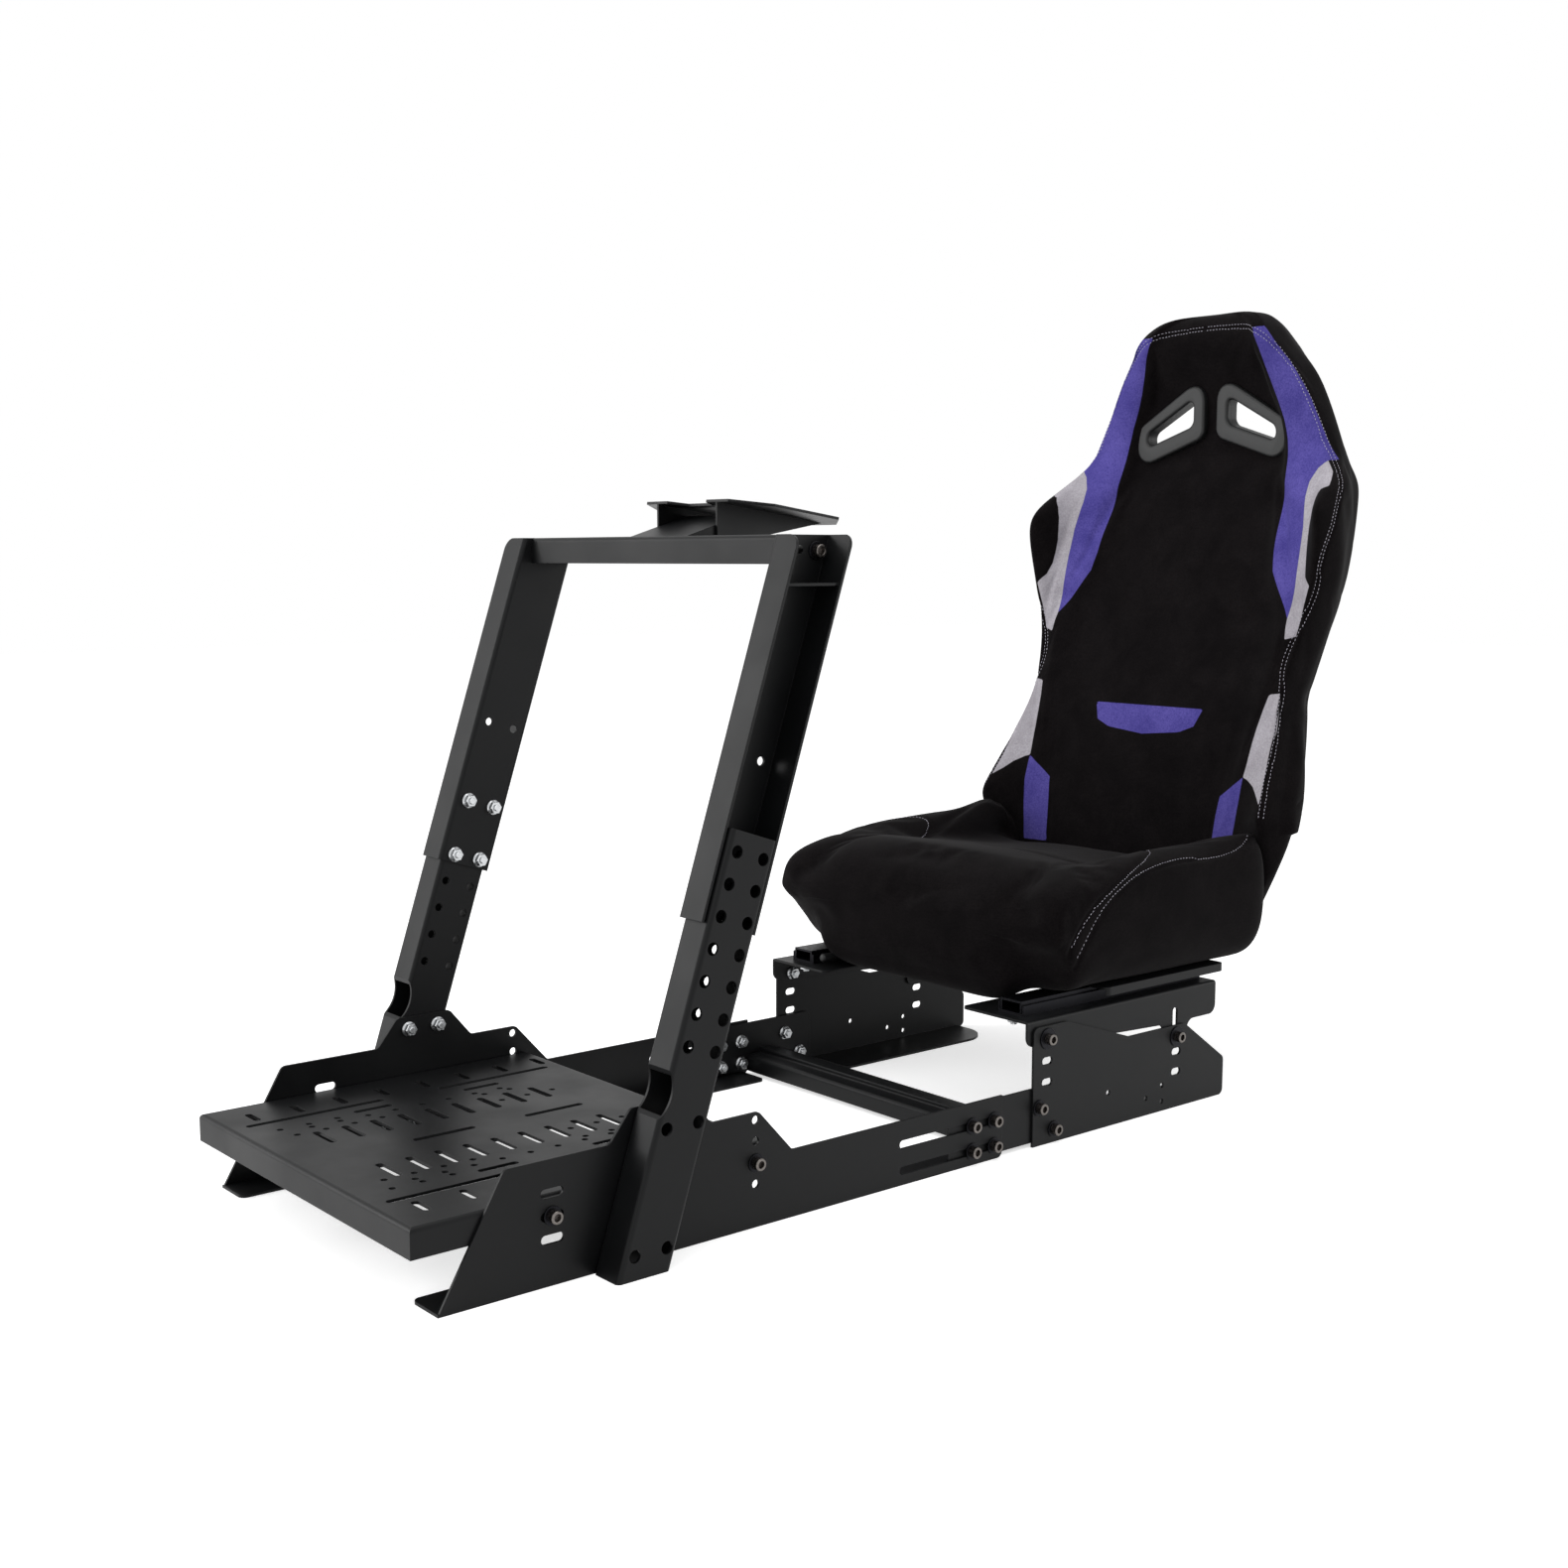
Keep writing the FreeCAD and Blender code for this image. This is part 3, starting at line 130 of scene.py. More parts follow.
def panelled_suede():
    # Polyester microsuede sewn over foam: a short brushed nap that lies in streaks, with paler patches
    # where a hand has turned it, and a soft edge sheen. Purple and grey panels are let into the black.
    material, tree, shader, place = new_material("panelled_microsuede")
    nap, turned = suede_tones(tree, place)
    tone = None
    for panel, low, high in (
        ("", "#060405", "#131011"),
        ("purple_panel", "#403a80", "#5a529c"),
        ("grey_panel", "#938f95", "#b2aeb5"),
    ):
        cloth = add_node(tree, "ShaderNodeMix", {"Factor": turned, "A": linear(low), "B": linear(high)},
                         data_type="RGBA").outputs["Result"]
        if not panel:
            tone = cloth
            continue
        depth = add_node(tree, "ShaderNodeAttribute", attribute_name=panel).outputs["Fac"]
        inside = add_node(tree, "ShaderNodeMapRange", {
            "Value": depth, "From Min": -0.3 * MM, "From Max": 0.3 * MM,
        }).outputs["Result"]
        tone = add_node(tree, "ShaderNodeMix", {"Factor": inside, "A": tone, "B": cloth},
                        data_type="RGBA").outputs["Result"]
    # Painted shade: the cloth is darkened to about a third of its colour within a couple of millimetres of
    # each seam, as shade in the seam's groove.
    crease = add_node(tree, "ShaderNodeAttribute", attribute_name="seam_distance").outputs["Fac"]
    painted_seam_shade = add_node(tree, "ShaderNodeMapRange", {
        "Value": crease, "From Min": 0.4 * MM, "From Max": 2.2 * MM, "To Min": 0.35, "To Max": 1.0,
    }).outputs["Result"]
    tone = add_node(tree, "ShaderNodeVectorMath", {0: tone, 1: painted_seam_shade}, operation="MULTIPLY").outputs["Vector"]
    bump = add_node(tree, "ShaderNodeBump", {"Height": nap, "Strength": 0.35, "Distance": 0.25 * MM})
    tree.links.new(tone, shader.inputs["Base Color"])
    tree.links.new(bump.outputs["Normal"], shader.inputs["Normal"])
    shader.inputs["Roughness"].default_value = 0.92
    shader.inputs["Specular IOR Level"].default_value = 0.05
    shader.inputs["Sheen Weight"].default_value = 0.03
    shader.inputs["Sheen Roughness"].default_value = 0.45
    return material


def black_plastic():
    # Injection-moulded ABS: a fine spark-eroded grain of about 0.8 mm, satin with softly bright rims.
    material, tree, shader, place = new_material("black_abs_plastic")
    grain = add_node(tree, "ShaderNodeTexNoise", {"Vector": place, "Scale": per_mm(0.8), "Detail": 2.0})
    bump = add_node(tree, "ShaderNodeBump", {
        "Height": grain.outputs["Fac"], "Strength": 0.25, "Distance": 0.05 * MM,
    })
    tone = add_node(tree, "ShaderNodeMix", {
        "Factor": grain.outputs["Fac"], "A": linear("#101112"), "B": linear("#181919"),
    }, data_type="RGBA")
    tree.links.new(tone.outputs["Result"], shader.inputs["Base Color"])
    tree.links.new(bump.outputs["Normal"], shader.inputs["Normal"])
    shader.inputs["Roughness"].default_value = 0.48
    shader.inputs["Specular IOR Level"].default_value = 0.35
    return material


def steel(name, dull, bright, rough):
    # Steel fasteners, zinc-plated or blackened: fine crystals that give a blotchy gloss about 3 mm across.
    material, tree, shader, place = new_material(name)
    blotch = add_node(tree, "ShaderNodeTexNoise", {"Vector": place, "Scale": per_mm(3), "Detail": 3.0})
    tone = add_node(tree, "ShaderNodeMix", {
        "Factor": blotch.outputs["Fac"], "A": linear(dull), "B": linear(bright),
    }, data_type="RGBA")
    gloss = add_node(tree, "ShaderNodeMapRange", {
        "Value": blotch.outputs["Fac"], "From Min": 0.3, "From Max": 0.7,
        "To Min": rough - 0.06, "To Max": rough + 0.08,
    })
    tree.links.new(tone.outputs["Result"], shader.inputs["Base Color"])
    tree.links.new(gloss.outputs["Result"], shader.inputs["Roughness"])
    shader.inputs["Metallic"].default_value = 1.0
    return material


def thread():
    # Bonded polyester thread: twisted filaments, off-white, a little shine.
    material, tree, shader, place = new_material("white_thread")
    twist = add_node(tree, "ShaderNodeTexWave", {"Vector": place, "Scale": per_mm(4), "Distortion": 2.0})
    tone = add_node(tree, "ShaderNodeMix", {
        "Factor": twist.outputs["Fac"], "A": linear("#8d8a96"), "B": linear("#c4c1cc"),
    }, data_type="RGBA")
    tree.links.new(tone.outputs["Result"], shader.inputs["Base Color"])
    shader.inputs["Roughness"].default_value = 0.6
    return material


COAT = black_powder_coat()
SUEDE = panelled_suede()
PLASTIC = black_plastic()
ZINC = steel("zinc_plated_steel", "#a9abad", "#d4d6d8", 0.3)
BLACK_OXIDE = steel("black_oxide_steel", "#17171a", "#262629", 0.4)
BURNISHED = steel("burnished_black_oxide", "#4c4846", "#7d7874", 0.3)
THREAD = thread()

# Making pieces

def finish_piece(bm, name, material, body, smooth=40):
    """A mesh as a piece at the origin, smooth up to an angle in degrees, riding on its body."""
    mesh = bpy.data.meshes.new(name)
    bm.to_mesh(mesh)
    bm.free()
    mesh.materials.append(material)
    mesh.shade_smooth()
    mesh.set_sharp_from_angle(angle=math.radians(smooth))
    piece = bpy.data.objects.new(name, mesh)
    bpy.context.scene.collection.objects.link(piece)
    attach(piece, body)
    return piece


def evaluated_mesh(piece):
    """The mesh that a piece's modifiers give."""
    graph = bpy.context.evaluated_depsgraph_get()
    return bpy.data.meshes.new_from_object(piece.evaluated_get(graph))


def apply_modifiers(piece):
    """Keeps what the modifiers give and takes them off."""
    mesh = evaluated_mesh(piece)
    piece.modifiers.clear()
    piece.data = mesh


def read_points(mesh, what="co"):
    """The places or the normals of a mesh's points."""
    values = np.empty(len(mesh.vertices) * 3, np.float32)
    mesh.vertices.foreach_get(what, values)
    return values.reshape(-1, 3).astype(float)


def write_points(mesh, places):
    """Moves a mesh's points."""
    mesh.vertices.foreach_set("co", places.astype(np.float32).ravel())
    mesh.update()


def eased(values, low, high):
    """A smooth step from 0 at low to 1 at high."""
    t = np.clip((values - low) / (high - low), 0, 1)
    return t * t * (3 - 2 * t)


# Upholstery

# Seat back, level by level: height, half width, inner edge of the side panel and its front, fold of the
# wing and its front, front of the middle, front of the wing's tip, end of the flat side, rear.
BACK_LEVELS = [
    (178, 198, 140, 531, 165, 531, 531, 531, 543, 560), (240, 224, 142, 530, 178, 527, 531, 527, 550, 598),
    (300, 249, 143, 538, 180, 529, 539, 516, 560, 632), (336, 251, 145, 542, 184, 534, 543, 504, 578, 642),
    (361, 246, 148, 546, 186, 537, 549, 515, 588, 648), (400, 236, 158, 557, 186, 550, 562, 538, 604, 658),
    (446, 222, 165, 570, 189, 565, 577, 561, 618, 674), (500, 215, 168, 590, 195, 585, 596, 585, 634, 694),
    (570, 227, 172, 616, 199, 608, 624, 605, 662, 717), (610, 236, 172, 629, 198, 626, 637, 605, 666, 729),
    (650, 246, 158, 638, 198, 634, 650, 604, 665, 741), (700, 252, 149, 654, 195, 647, 667, 599, 662, 753),
    (735, 247, 146, 664, 191, 655, 679, 606, 672, 761), (765, 238, 142, 672, 190, 661, 688, 645, 689, 767),
    (788, 218, 140, 679, 194, 670, 697, 670, 704, 770), (810, 203, 137, 685, 186, 684, 704, 684, 719, 772),
    (850, 183, 128, 688, 168, 688, 706, 688, 729, 771), (906, 153, 108, 681, 141, 683, 702, 684, 736, 770),
    (940, 128, 97, 674, 118, 677, 687, 677, 728, 767), (968, 108, 87, 670, 101, 673, 678, 673, 722, 763),
    (992, 89, 68, 681, 81, 685, 688, 687, 718, 748),
]
# How much of the width the flat rear takes, at some heights.
REAR_WIDTH = ([336, 446, 610, 700, 788, 850, 940], [0.75, 0.82, 0.82, 0.79, 0.81, 0.77, 0.755])


def back_section(level):
    """Half of the seat back's outline at one height, from mid front round to mid rear."""
    height, outer, inner, inner_front, fold, fold_front, front, tip, side, rear = level
    wing = outer - fold
    flank = outer * np.interp(height, *REAR_WIDTH)
    return [
        (0, front), (0.5 * inner, front), (0.86 * inner, front - 0.2 * (front - inner_front)),
        (inner + 3, inner_front), (fold, fold_front),
        (fold + 0.5 * wing, fold_front + 0.55 * (tip - fold_front)),
        (outer - 0.16 * wing, tip + 2), (outer, tip + 0.4 * (side - tip)),
        (outer - 1, tip + 0.85 * (side - tip)), (0.5 * (flank + outer), side + 0.4 * (rear - side)),
        (flank, rear - 0.12 * (rear - side)), (0.55 * flank, rear - 1), (0, rear),
    ]


# Seat cushion: place along the seat, underside of its flanks and of its middle, top of the pad and of the
# bolster, edge of the pad.
CUSHION_STATIONS = [
    (131, 228, 178, 277, 273, 138), (146, 201, 152, 293, 290, 138), (176, 170, 149, 303, 300, 138),
    (216, 169, 160, 304, 307, 138), (290, 168, 168, 294, 315, 140), (371, 168, 168, 282, 318, 146),
    (450, 168, 168, 274, 319.5, 165), (500, 168, 168, 270, 325.5, 184), (529, 168, 168, 266, 316, 194),
]
# How far the lower front corners and the rear end are drawn in, by the place along the seat, and the height
# of the slides that the flanks clear.
FRONT_DRAWN_IN = ([131, 146, 176], [0.87, 0.93, 1.0])
REAR_DRAWN_IN = ([500, 529], [1.0, 0.95])
SLIDE_TOP = 166


def cushion_section(station):
    """Half of the cushion's outline at one place, from mid underside round to mid top."""
    along, low, keel, pad, bolster, lip = station
    crest = 0.5 * lip + 138
    roll = crest - lip
    drawn_in = np.interp(along, *FRONT_DRAWN_IN)
    widest = 249 if drawn_in == 1 else 247
    half = [
        (0, keel), (60, keel), (126, keel + 1), (164, max(SLIDE_TOP, keel + 0.12 * (low - keel))),
        (210 * drawn_in, low + 1), (239 * (0.4 + 0.6 * drawn_in), low + 0.4 * (235 - low)),
        (widest, 237), (247, bolster - 29), (236, bolster - 9), (crest, bolster),
        (lip + 0.64 * roll, bolster - 4), (lip + 0.36 * roll, 0.5 * (pad + bolster) - 3),
        (lip, pad), (0.5 * lip, pad + 3), (0, pad + 4),
    ]
    return [(x * np.interp(along, *REAR_DRAWN_IN), z) for x, z in half]


def smooth_cage(rings):
    """Control rings whose subdivision surface passes through the measured rings."""
    cage = rings.copy()
    for _ in range(6):
        around = (np.roll(cage, 1, 1) + 4 * cage + np.roll(cage, -1, 1)) / 6
        inside = (around[:-2] + 4 * around[1:-1] + around[2:]) / 6
        limit = np.concatenate([around[:1], inside, around[-1:]])
        cage = cage + 0.8 * (rings - limit)
    return cage


def lofted_skin(rings, end_draw, shrinks, pinches):
    """A closed skin through a run of rings, each end drawn in to a smaller or thinner ring and closed."""
    cage = smooth_cage(rings)
    half = rings.shape[1] // 2
    opposite = (half - np.arange(2 * half)) % (2 * half)
    caps = []
    for end, neighbour, shrink, pinch in zip(cage[[0, -1]], cage[[1, -2]], shrinks, pinches):
        middle = end.mean(0)
        out = (middle - neighbour.mean(0)) / np.linalg.norm(middle - neighbour.mean(0))
        thin = end + (end[opposite] - end) * pinch
        caps.append(middle + (thin - middle) * shrink + out * end_draw * MM)
    bm = bmesh.new()
    loops = [[bm.verts.new(p) for p in loop] for loop in [caps[0], *cage, caps[1]]]
    edge_loops = [[bm.edges.new(pair) for pair in zip(verts, verts[1:] + verts[:1])] for verts in loops]
    for first, second in zip(edge_loops, edge_loops[1:]):
        bmesh.ops.bridge_loops(bm, edges=first + second)
    for verts, pinch in zip((loops[0], loops[-1]), pinches):
        for i in range(half // 2 if pinch else 0):
            for sign in (1, -1):
                corners = [sign * i, sign * (i + 1), sign * (half - i - 1), sign * (half - i)]
                bm.faces.new(list(dict.fromkeys(verts[c % (2 * half)] for c in corners)))
    bmesh.ops.holes_fill(bm, edges=bm.edges[:], sides=0)
    bmesh.ops.recalc_face_normals(bm, faces=bm.faces[:])
    return bm


def ring_of(half, place):
    """A closed ring from half an outline and its mirror image."""
    whole = half + [(-x, y) for x, y in half[-2:0:-1]]
    return [place(x, y) for x, y in whole]


def subdivide(piece, levels):
    """Subdivides a piece and keeps the result."""
    finer = piece.modifiers.new("finer", "SUBSURF")
    finer.levels = levels
    finer.render_levels = levels
    apply_modifiers(piece)


def run_through(points, pitch):
    """Evenly spaced places on a smooth run through measured points, which are in millimetres on the datum."""
    spots = [at(*p) for p in points]
    spots = [2 * spots[0] - spots[1], *spots, 2 * spots[-1] - spots[-2]]
    fine = []
    for before, here, there, after in zip(spots, spots[1:], spots[2:], spots[3:]):
        for t in np.linspace(0, 1, 12, endpoint=False):
            fine.append(0.5 * (
                2 * here + (there - before) * t + (2 * before - 5 * here + 4 * there - after) * t * t
                + (3 * here - before - 3 * there + after) * t ** 3
            ))
    fine = np.array(fine + [spots[-2]])
    run = np.r_[0, np.cumsum(np.linalg.norm(np.diff(fine, axis=0), axis=1))]
    spaced = np.arange(0, run[-1], pitch * MM)
    return np.stack([np.interp(spaced, run, fine[:, i]) for i in range(3)], 1)


def both_sides(runs):
    """Runs with their mirror images."""
    return runs + [[(-x, y, z) for x, y, z in run] for run in runs]


def surface_tree(piece):
    """A search tree over a piece's faces."""
    bm = bmesh.new()
    bm.from_mesh(piece.data)
    tree = BVHTree.FromBMesh(bm)
    bm.free()
    return tree


def distance_to(places, runs):
    """How far each place lies from the nearest of some runs of spots."""
    spots = np.concatenate(runs)
    tree = KDTree(len(spots))
    for i, spot in enumerate(spots):
        tree.insert(spot, i)
    tree.balance()
    return np.array([tree.find(place)[2] for place in places])


def laid_on(tree, runs):
    """Runs of spots pulled onto a surface and smoothed along it."""
    laid = []
    for run in runs:
        for _ in range(3):
            run = np.array([tree.find_nearest(Vector(spot))[0] for spot in run])
            run[2:-2] = (run[:-4] + run[1:-3] + run[2:-2] + run[3:-1] + run[4:]) / 5
        laid.append(run)
    return laid


# Pressure of the foam under the covers and how many frames it is given.
FOAM_PRESSURE = 4.0
FOAM_FRAMES = 20


def swell(piece, sewn, most):
    """Blows the cover up like foam under cloth, held at its seams, and no spot moves further than most."""
    start = read_points(piece.data)
    held = piece.vertex_groups.new(name="sewn")
    held.add([int(i) for i in np.flatnonzero(sewn)], 1.0, "REPLACE")
    foam = piece.modifiers.new("foam", "CLOTH")
    foam.settings.use_pressure = True
    foam.settings.uniform_pressure_force = FOAM_PRESSURE
    foam.settings.vertex_group_mass = "sewn"
    foam.settings.effector_weights.gravity = 0.0
    foam.point_cache.frame_start = 1
    foam.point_cache.frame_end = FOAM_FRAMES
    for step in range(1, FOAM_FRAMES + 1):
        bpy.context.scene.frame_set(step)
    moved = read_points(evaluated_mesh(piece)) - start
    bpy.context.scene.frame_set(1)
    piece.modifiers.clear()
    piece.vertex_groups.clear()
    far = np.linalg.norm(moved, axis=1)
    moved *= np.minimum(1, most * MM / np.maximum(far, 1e-9))[:, None]
    write_points(piece.data, start + moved)


def prism(outline, start, end):
    """A block through a panel: an outline across and up, each corner with the length its rounding takes off
    the sides, run along the seat."""
    bm = bmesh.new()
    corners = [bm.verts.new(at(x, start, z)) for x, z, cut in outline]
    face = bm.faces.new(corners)
    pushed = bmesh.ops.extrude_face_region(bm, geom=[face])["geom"]
    ends = [g for g in pushed if isinstance(g, bmesh.types.BMVert)]
    bmesh.ops.translate(bm, vec=(0, (end - start) * MM, 0), verts=ends)
    long_edges = [
        next(e for e in v.link_edges if abs(e.verts[0].co.y - e.verts[1].co.y) > MM) for v in corners
    ]
    for edge, (x, z, cut) in zip(long_edges, outline):
        bmesh.ops.bevel(bm, geom=[edge], offset=cut * MM, affect="EDGES", segments=8, profile=0.5,
                        material=-1)
    bmesh.ops.recalc_face_normals(bm, faces=bm.faces[:])
    return bm


def mirrored(outline, sign):
    """An outline on the left of the seat, or its mirror image."""
    return [(sign * x, *rest) for x, *rest in outline]


def cut_away(piece, bm, lining):
    """Cuts a block out of a piece and lines the cut."""
    mesh = bpy.data.meshes.new("block")
    bm.to_mesh(mesh)
    bm.free()
    mesh.materials.append(lining)
    block = bpy.data.objects.new("block", mesh)
    bpy.context.scene.collection.objects.link(block)
    gap = piece.modifiers.new("gap", "BOOLEAN")
    gap.operation = "DIFFERENCE"
    gap.solver = "EXACT"
    gap.material_mode = "TRANSFER"
    gap.object = block
    apply_modifiers(piece)
    bpy.data.objects.remove(block)


def inside_by(across, up, outline):
    """How far places lie inside an outline, in metres, and below nothing outside it."""
    corners = np.array(outline) * MM
    nearest = np.full(len(across), 1.0)
    inside = np.zeros(len(across), bool)
    for a, b in zip(corners, np.roll(corners, -1, 0)):
        run = b - a
        t = np.clip(((across - a[0]) * run[0] + (up - a[1]) * run[1]) / (run @ run), 0, 1)
        nearest = np.minimum(nearest, np.hypot(across - a[0] - t * run[0], up - a[1] - t * run[1]))
        if a[1] != b[1]:
            crosses = (a[1] > up) != (b[1] > up)
            inside ^= crosses & (across < a[0] + (up - a[1]) / run[1] * run[0])
    return np.where(inside, nearest, -nearest)


def store(mesh, name, values):
    """Keeps one number for each point of a mesh."""
    mesh.attributes.new(name, "FLOAT", "POINT").data.foreach_set("value", values.astype(np.float32))


# Coloured panels of the seat back, across and up from the middle of the seat.
STRIP_FOLD = [
    (196.5, 591), (197.4, 613), (198, 632), (197.5, 651), (197, 671), (196, 690), (195, 710), (192, 729),
    (189, 749), (189.4, 768), (197, 785), (207, 794),
]
PURPLE_PANELS = [
    [(84, 973), (94.7, 946), (102, 922), (110, 898), (118.6, 875), (128, 851), (134.5, 826), (138.6, 801),
     (141.4, 776), (144, 751), (146.4, 726), (148.7, 701), (150.7, 677), (155.5, 652), (168, 632), (181, 612),
     *STRIP_FOLD, (230, 800), (215, 830), (200, 855), (185, 880), (170, 906), (152, 931), (132, 955),
     (105, 974)],
    [(184.5, 390), (185.3, 357), (182.7, 327), (179.6, 297), (178, 272), (141, 272), (142.7, 284),
     (143.6, 310), (145, 335), (148, 362)],
    [(-50, 470), (92, 470), (83, 447), (61, 438), (0, 432), (-50, 434)],
]
GREY_PANELS = [
    [*STRIP_FOLD[::-1], (199.5, 565), (214, 569), (223, 604), (232, 634), (221, 646), (216, 662), (214, 679),
     (213, 695), (213.6, 711), (215, 727), (218, 742), (224, 756), (233, 760), (222, 779)],
    [(195, 495), (191.4, 475), (188.8, 453), (187, 432), (186, 410), (184.5, 390), (192, 388), (207.5, 380),
     (219, 370), (231, 361), (225, 389), (220.7, 417), (216.7, 446), (211, 475), (209.4, 497)],
]
# How far back the panels reach at each height: the seam beside the head, and well short of the rear below.
FRONT_LIMIT = [(270, 590), (400, 620), (500, 650), (600, 680), (700, 700), (780, 700), (795, 692), (818, 691),
               (880, 691), (927, 686), (953, 678), (974, 675)]
# The grey panels end where the wings' edges turn this far to the rear, and the depth that a turn of 1 gives.
FACING_LIMIT = 0.05
FACING_DEPTH = 25
# Belt openings, their rims and the recess behind them: across, up, length that each corner's rounding takes.
BELT_OPENING = [(29, 888, 12), (29, 851, 9), (108, 825, 10), (108, 844, 7)]
RIM_OUTLINE = [(10, 921, 40), (10, 834, 12), (127, 794, 33), (127, 851, 9)]
REAR_RECESS = [(-166, 812, 14), (166, 812, 14), (162, 858, 10), (116, 906, 14), (-116, 906, 14),
               (-162, 858, 10)]
# Where the openings' cut, the rims and the recess start and end along the seat, and the rims' rounding.
BELT_CUT = (660, 790)
RIM_DEPTH = (696, 709)
RECESS_DEPTH = (718, 800)
RIM_ROUND = 4.0

# Sewn seams: the edge where the front of the back meets its rear cover, and the cushion's two rows.
BACK_SEAM = [
    (0, 682, 979), (35, 680, 978), (70, 675, 975), (91, 671, 968), (114, 675, 952), (135, 684, 926),
    (163, 689, 880), (194, 689, 817), (217, 679, 788), (245, 652, 756), (257, 630, 719), (254, 613, 673),
    (242, 611, 627), (223, 608, 590), (208, 602, 552), (205, 592, 520), (211, 588, 497), (217, 568, 446),
    (224, 555, 424), (227, 539, 397), (235, 520, 361), (240, 508, 338),
]
CUSHION_SEAMS = [
    [(243, 512, 332), (243, 496, 328), (245, 452, 314), (244, 402, 310), (240, 337, 307), (244, 263, 294),
     (248, 206, 265), (248, 174, 227), (240, 168, 200)],
    [(249, 152, 214), (249, 155, 237), (248, 187, 271), (239, 245, 298), (215, 320, 312), (186, 350, 312),
     (168, 330, 300), (147, 293, 292)],
]

# Spacing of the spots along a seam and of the stitches, how wide a seam and a rim hold the cover, and the
# seam's groove.
SEAM_PITCH = 3.0
STITCH_PITCH = 5.0
SEAM_HOLD = 6
RIM_MARGIN = 12
GROOVE_DEPTH = 2.2
GROOVE_WIDTH = 2.8

back_rings = np.array([
    ring_of(back_section(level), lambda x, y, z=level[0]: at(x, y, z)) for level in BACK_LEVELS
])
cushion_rings = np.array([
    ring_of(cushion_section(station), lambda x, z, y=station[0]: at(x, y, z)) for station in CUSHION_STATIONS
])
back_skin = lofted_skin(back_rings, end_draw=8, shrinks=(0.72, 0.72), pinches=(0, 0))
cushion_skin = lofted_skin(cushion_rings, end_draw=2, shrinks=(0.8, 0.92), pinches=(0, 0.07))
back_cover = finish_piece(back_skin, "seat_back_cover", SUEDE, "seat", smooth=180)
cushion_cover = finish_piece(cushion_skin, "seat_cushion_cover", SUEDE, "seat", smooth=180)
back_seams = [run_through(run, SEAM_PITCH) for run in both_sides([BACK_SEAM])]
cushion_seams = [run_through(run, SEAM_PITCH) for run in both_sides(CUSHION_SEAMS)]

# Each cover with its seams, the height up to which it is held, and the most that its foam swells.
for cover, seams, held_below, most in (
    (back_cover, back_seams, 200, 5), (cushion_cover, cushion_seams, 174, 6),
):
    subdivide(cover, 3)
    seams[:] = laid_on(surface_tree(cover), seams)
    places = read_points(cover.data)
    rim_corners = [corner[:2] for corner in RIM_OUTLINE]
    under_rim = inside_by(np.abs(places[:, 0]), places[:, 2], rim_corners) > -RIM_MARGIN * MM
    sewn = (distance_to(places, seams) < SEAM_HOLD * MM) | (places[:, 2] < held_below * MM) | under_rim
    swell(cover, sewn, most)
    subdivide(cover, 1)
    seams[:] = laid_on(surface_tree(cover), seams)
    places = read_points(cover.data)
    inward = -read_points(cover.data, "normal")
    groove = GROOVE_DEPTH * MM * np.exp(-(distance_to(places, seams) / (GROOVE_WIDTH * MM)) ** 2)
    write_points(cover.data, places + inward * groove[:, None])

# The rear cover is a second layer: it stands off the shell from some way behind the seam, except where it
# faces forwards, ends in a hem at its foot and lies closer again higher up.
STAND_OFF = 7 * MM
STAND_OFF_START = (22 * MM, 48 * MM)
STAND_OFF_FACING = (-0.45, -0.1)
HEM_HEIGHT = 321 * MM
HEM_EDGE = (HEM_HEIGHT, HEM_HEIGHT + 5 * MM)
CLOSER_SHARE = 0.8
CLOSER_HEIGHTS = (HEM_HEIGHT + 90 * MM, HEM_HEIGHT + 260 * MM)
places = read_points(back_cover.data)
outward = read_points(back_cover.data, "normal")
seam_heights = [z * MM for x, y, z in BACK_SEAM[::-1]]
seam_line = np.interp(places[:, 2], seam_heights, [at(*p).y for p in BACK_SEAM[::-1]])
behind = eased(places[:, 1] - seam_line, *STAND_OFF_START) * eased(outward[:, 1], *STAND_OFF_FACING)
hang = STAND_OFF * eased(places[:, 2], *HEM_EDGE)
hang *= 1 - CLOSER_SHARE * eased(places[:, 2], *CLOSER_HEIGHTS)
write_points(back_cover.data, places + outward * (behind * hang)[:, None])

for sign in (1, -1):
    cut_away(back_cover, prism(mirrored(BELT_OPENING, sign), *BELT_CUT), PLASTIC)
cut_away(back_cover, prism(REAR_RECESS, *RECESS_DEPTH), PLASTIC)
back_cover.data.set_sharp_from_angle(angle=math.radians(55))

for cover, seams in ((back_cover, back_seams), (cushion_cover, cushion_seams)):
    places = read_points(cover.data)
    across = np.abs(places[:, 0])
    up = places[:, 2]
    facing = read_points(cover.data, "normal")[:, 1]
    limit = np.interp(up, [z * MM for z, y in FRONT_LIMIT], [at(0, y, 0).y for z, y in FRONT_LIMIT])
    front = limit - places[:, 1]
    for name, panels in (("purple_panel", PURPLE_PANELS), ("grey_panel", GREY_PANELS)):
        depth = np.max([inside_by(across, up, panel) for panel in panels], axis=0)
        if name == "grey_panel":
            depth = np.minimum(depth, (FACING_LIMIT - facing) * FACING_DEPTH * MM)
        store(cover.data, name, np.minimum(depth, front) if cover is back_cover else depth * 0 - 1)
    store(cover.data, "seam_distance", distance_to(places, seams))

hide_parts("seat_back", "left_back_bolster", "right_back_bolster")
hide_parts("seat_cushion", "left_cushion_bolster", "right_cushion_bolster")

# One stitch: half its length, width and height, and how far its middle stands off the cover.
STITCH_HALF_SIZE = (1.6, 0.42, 0.4)
STITCH_LIFT = 0.2


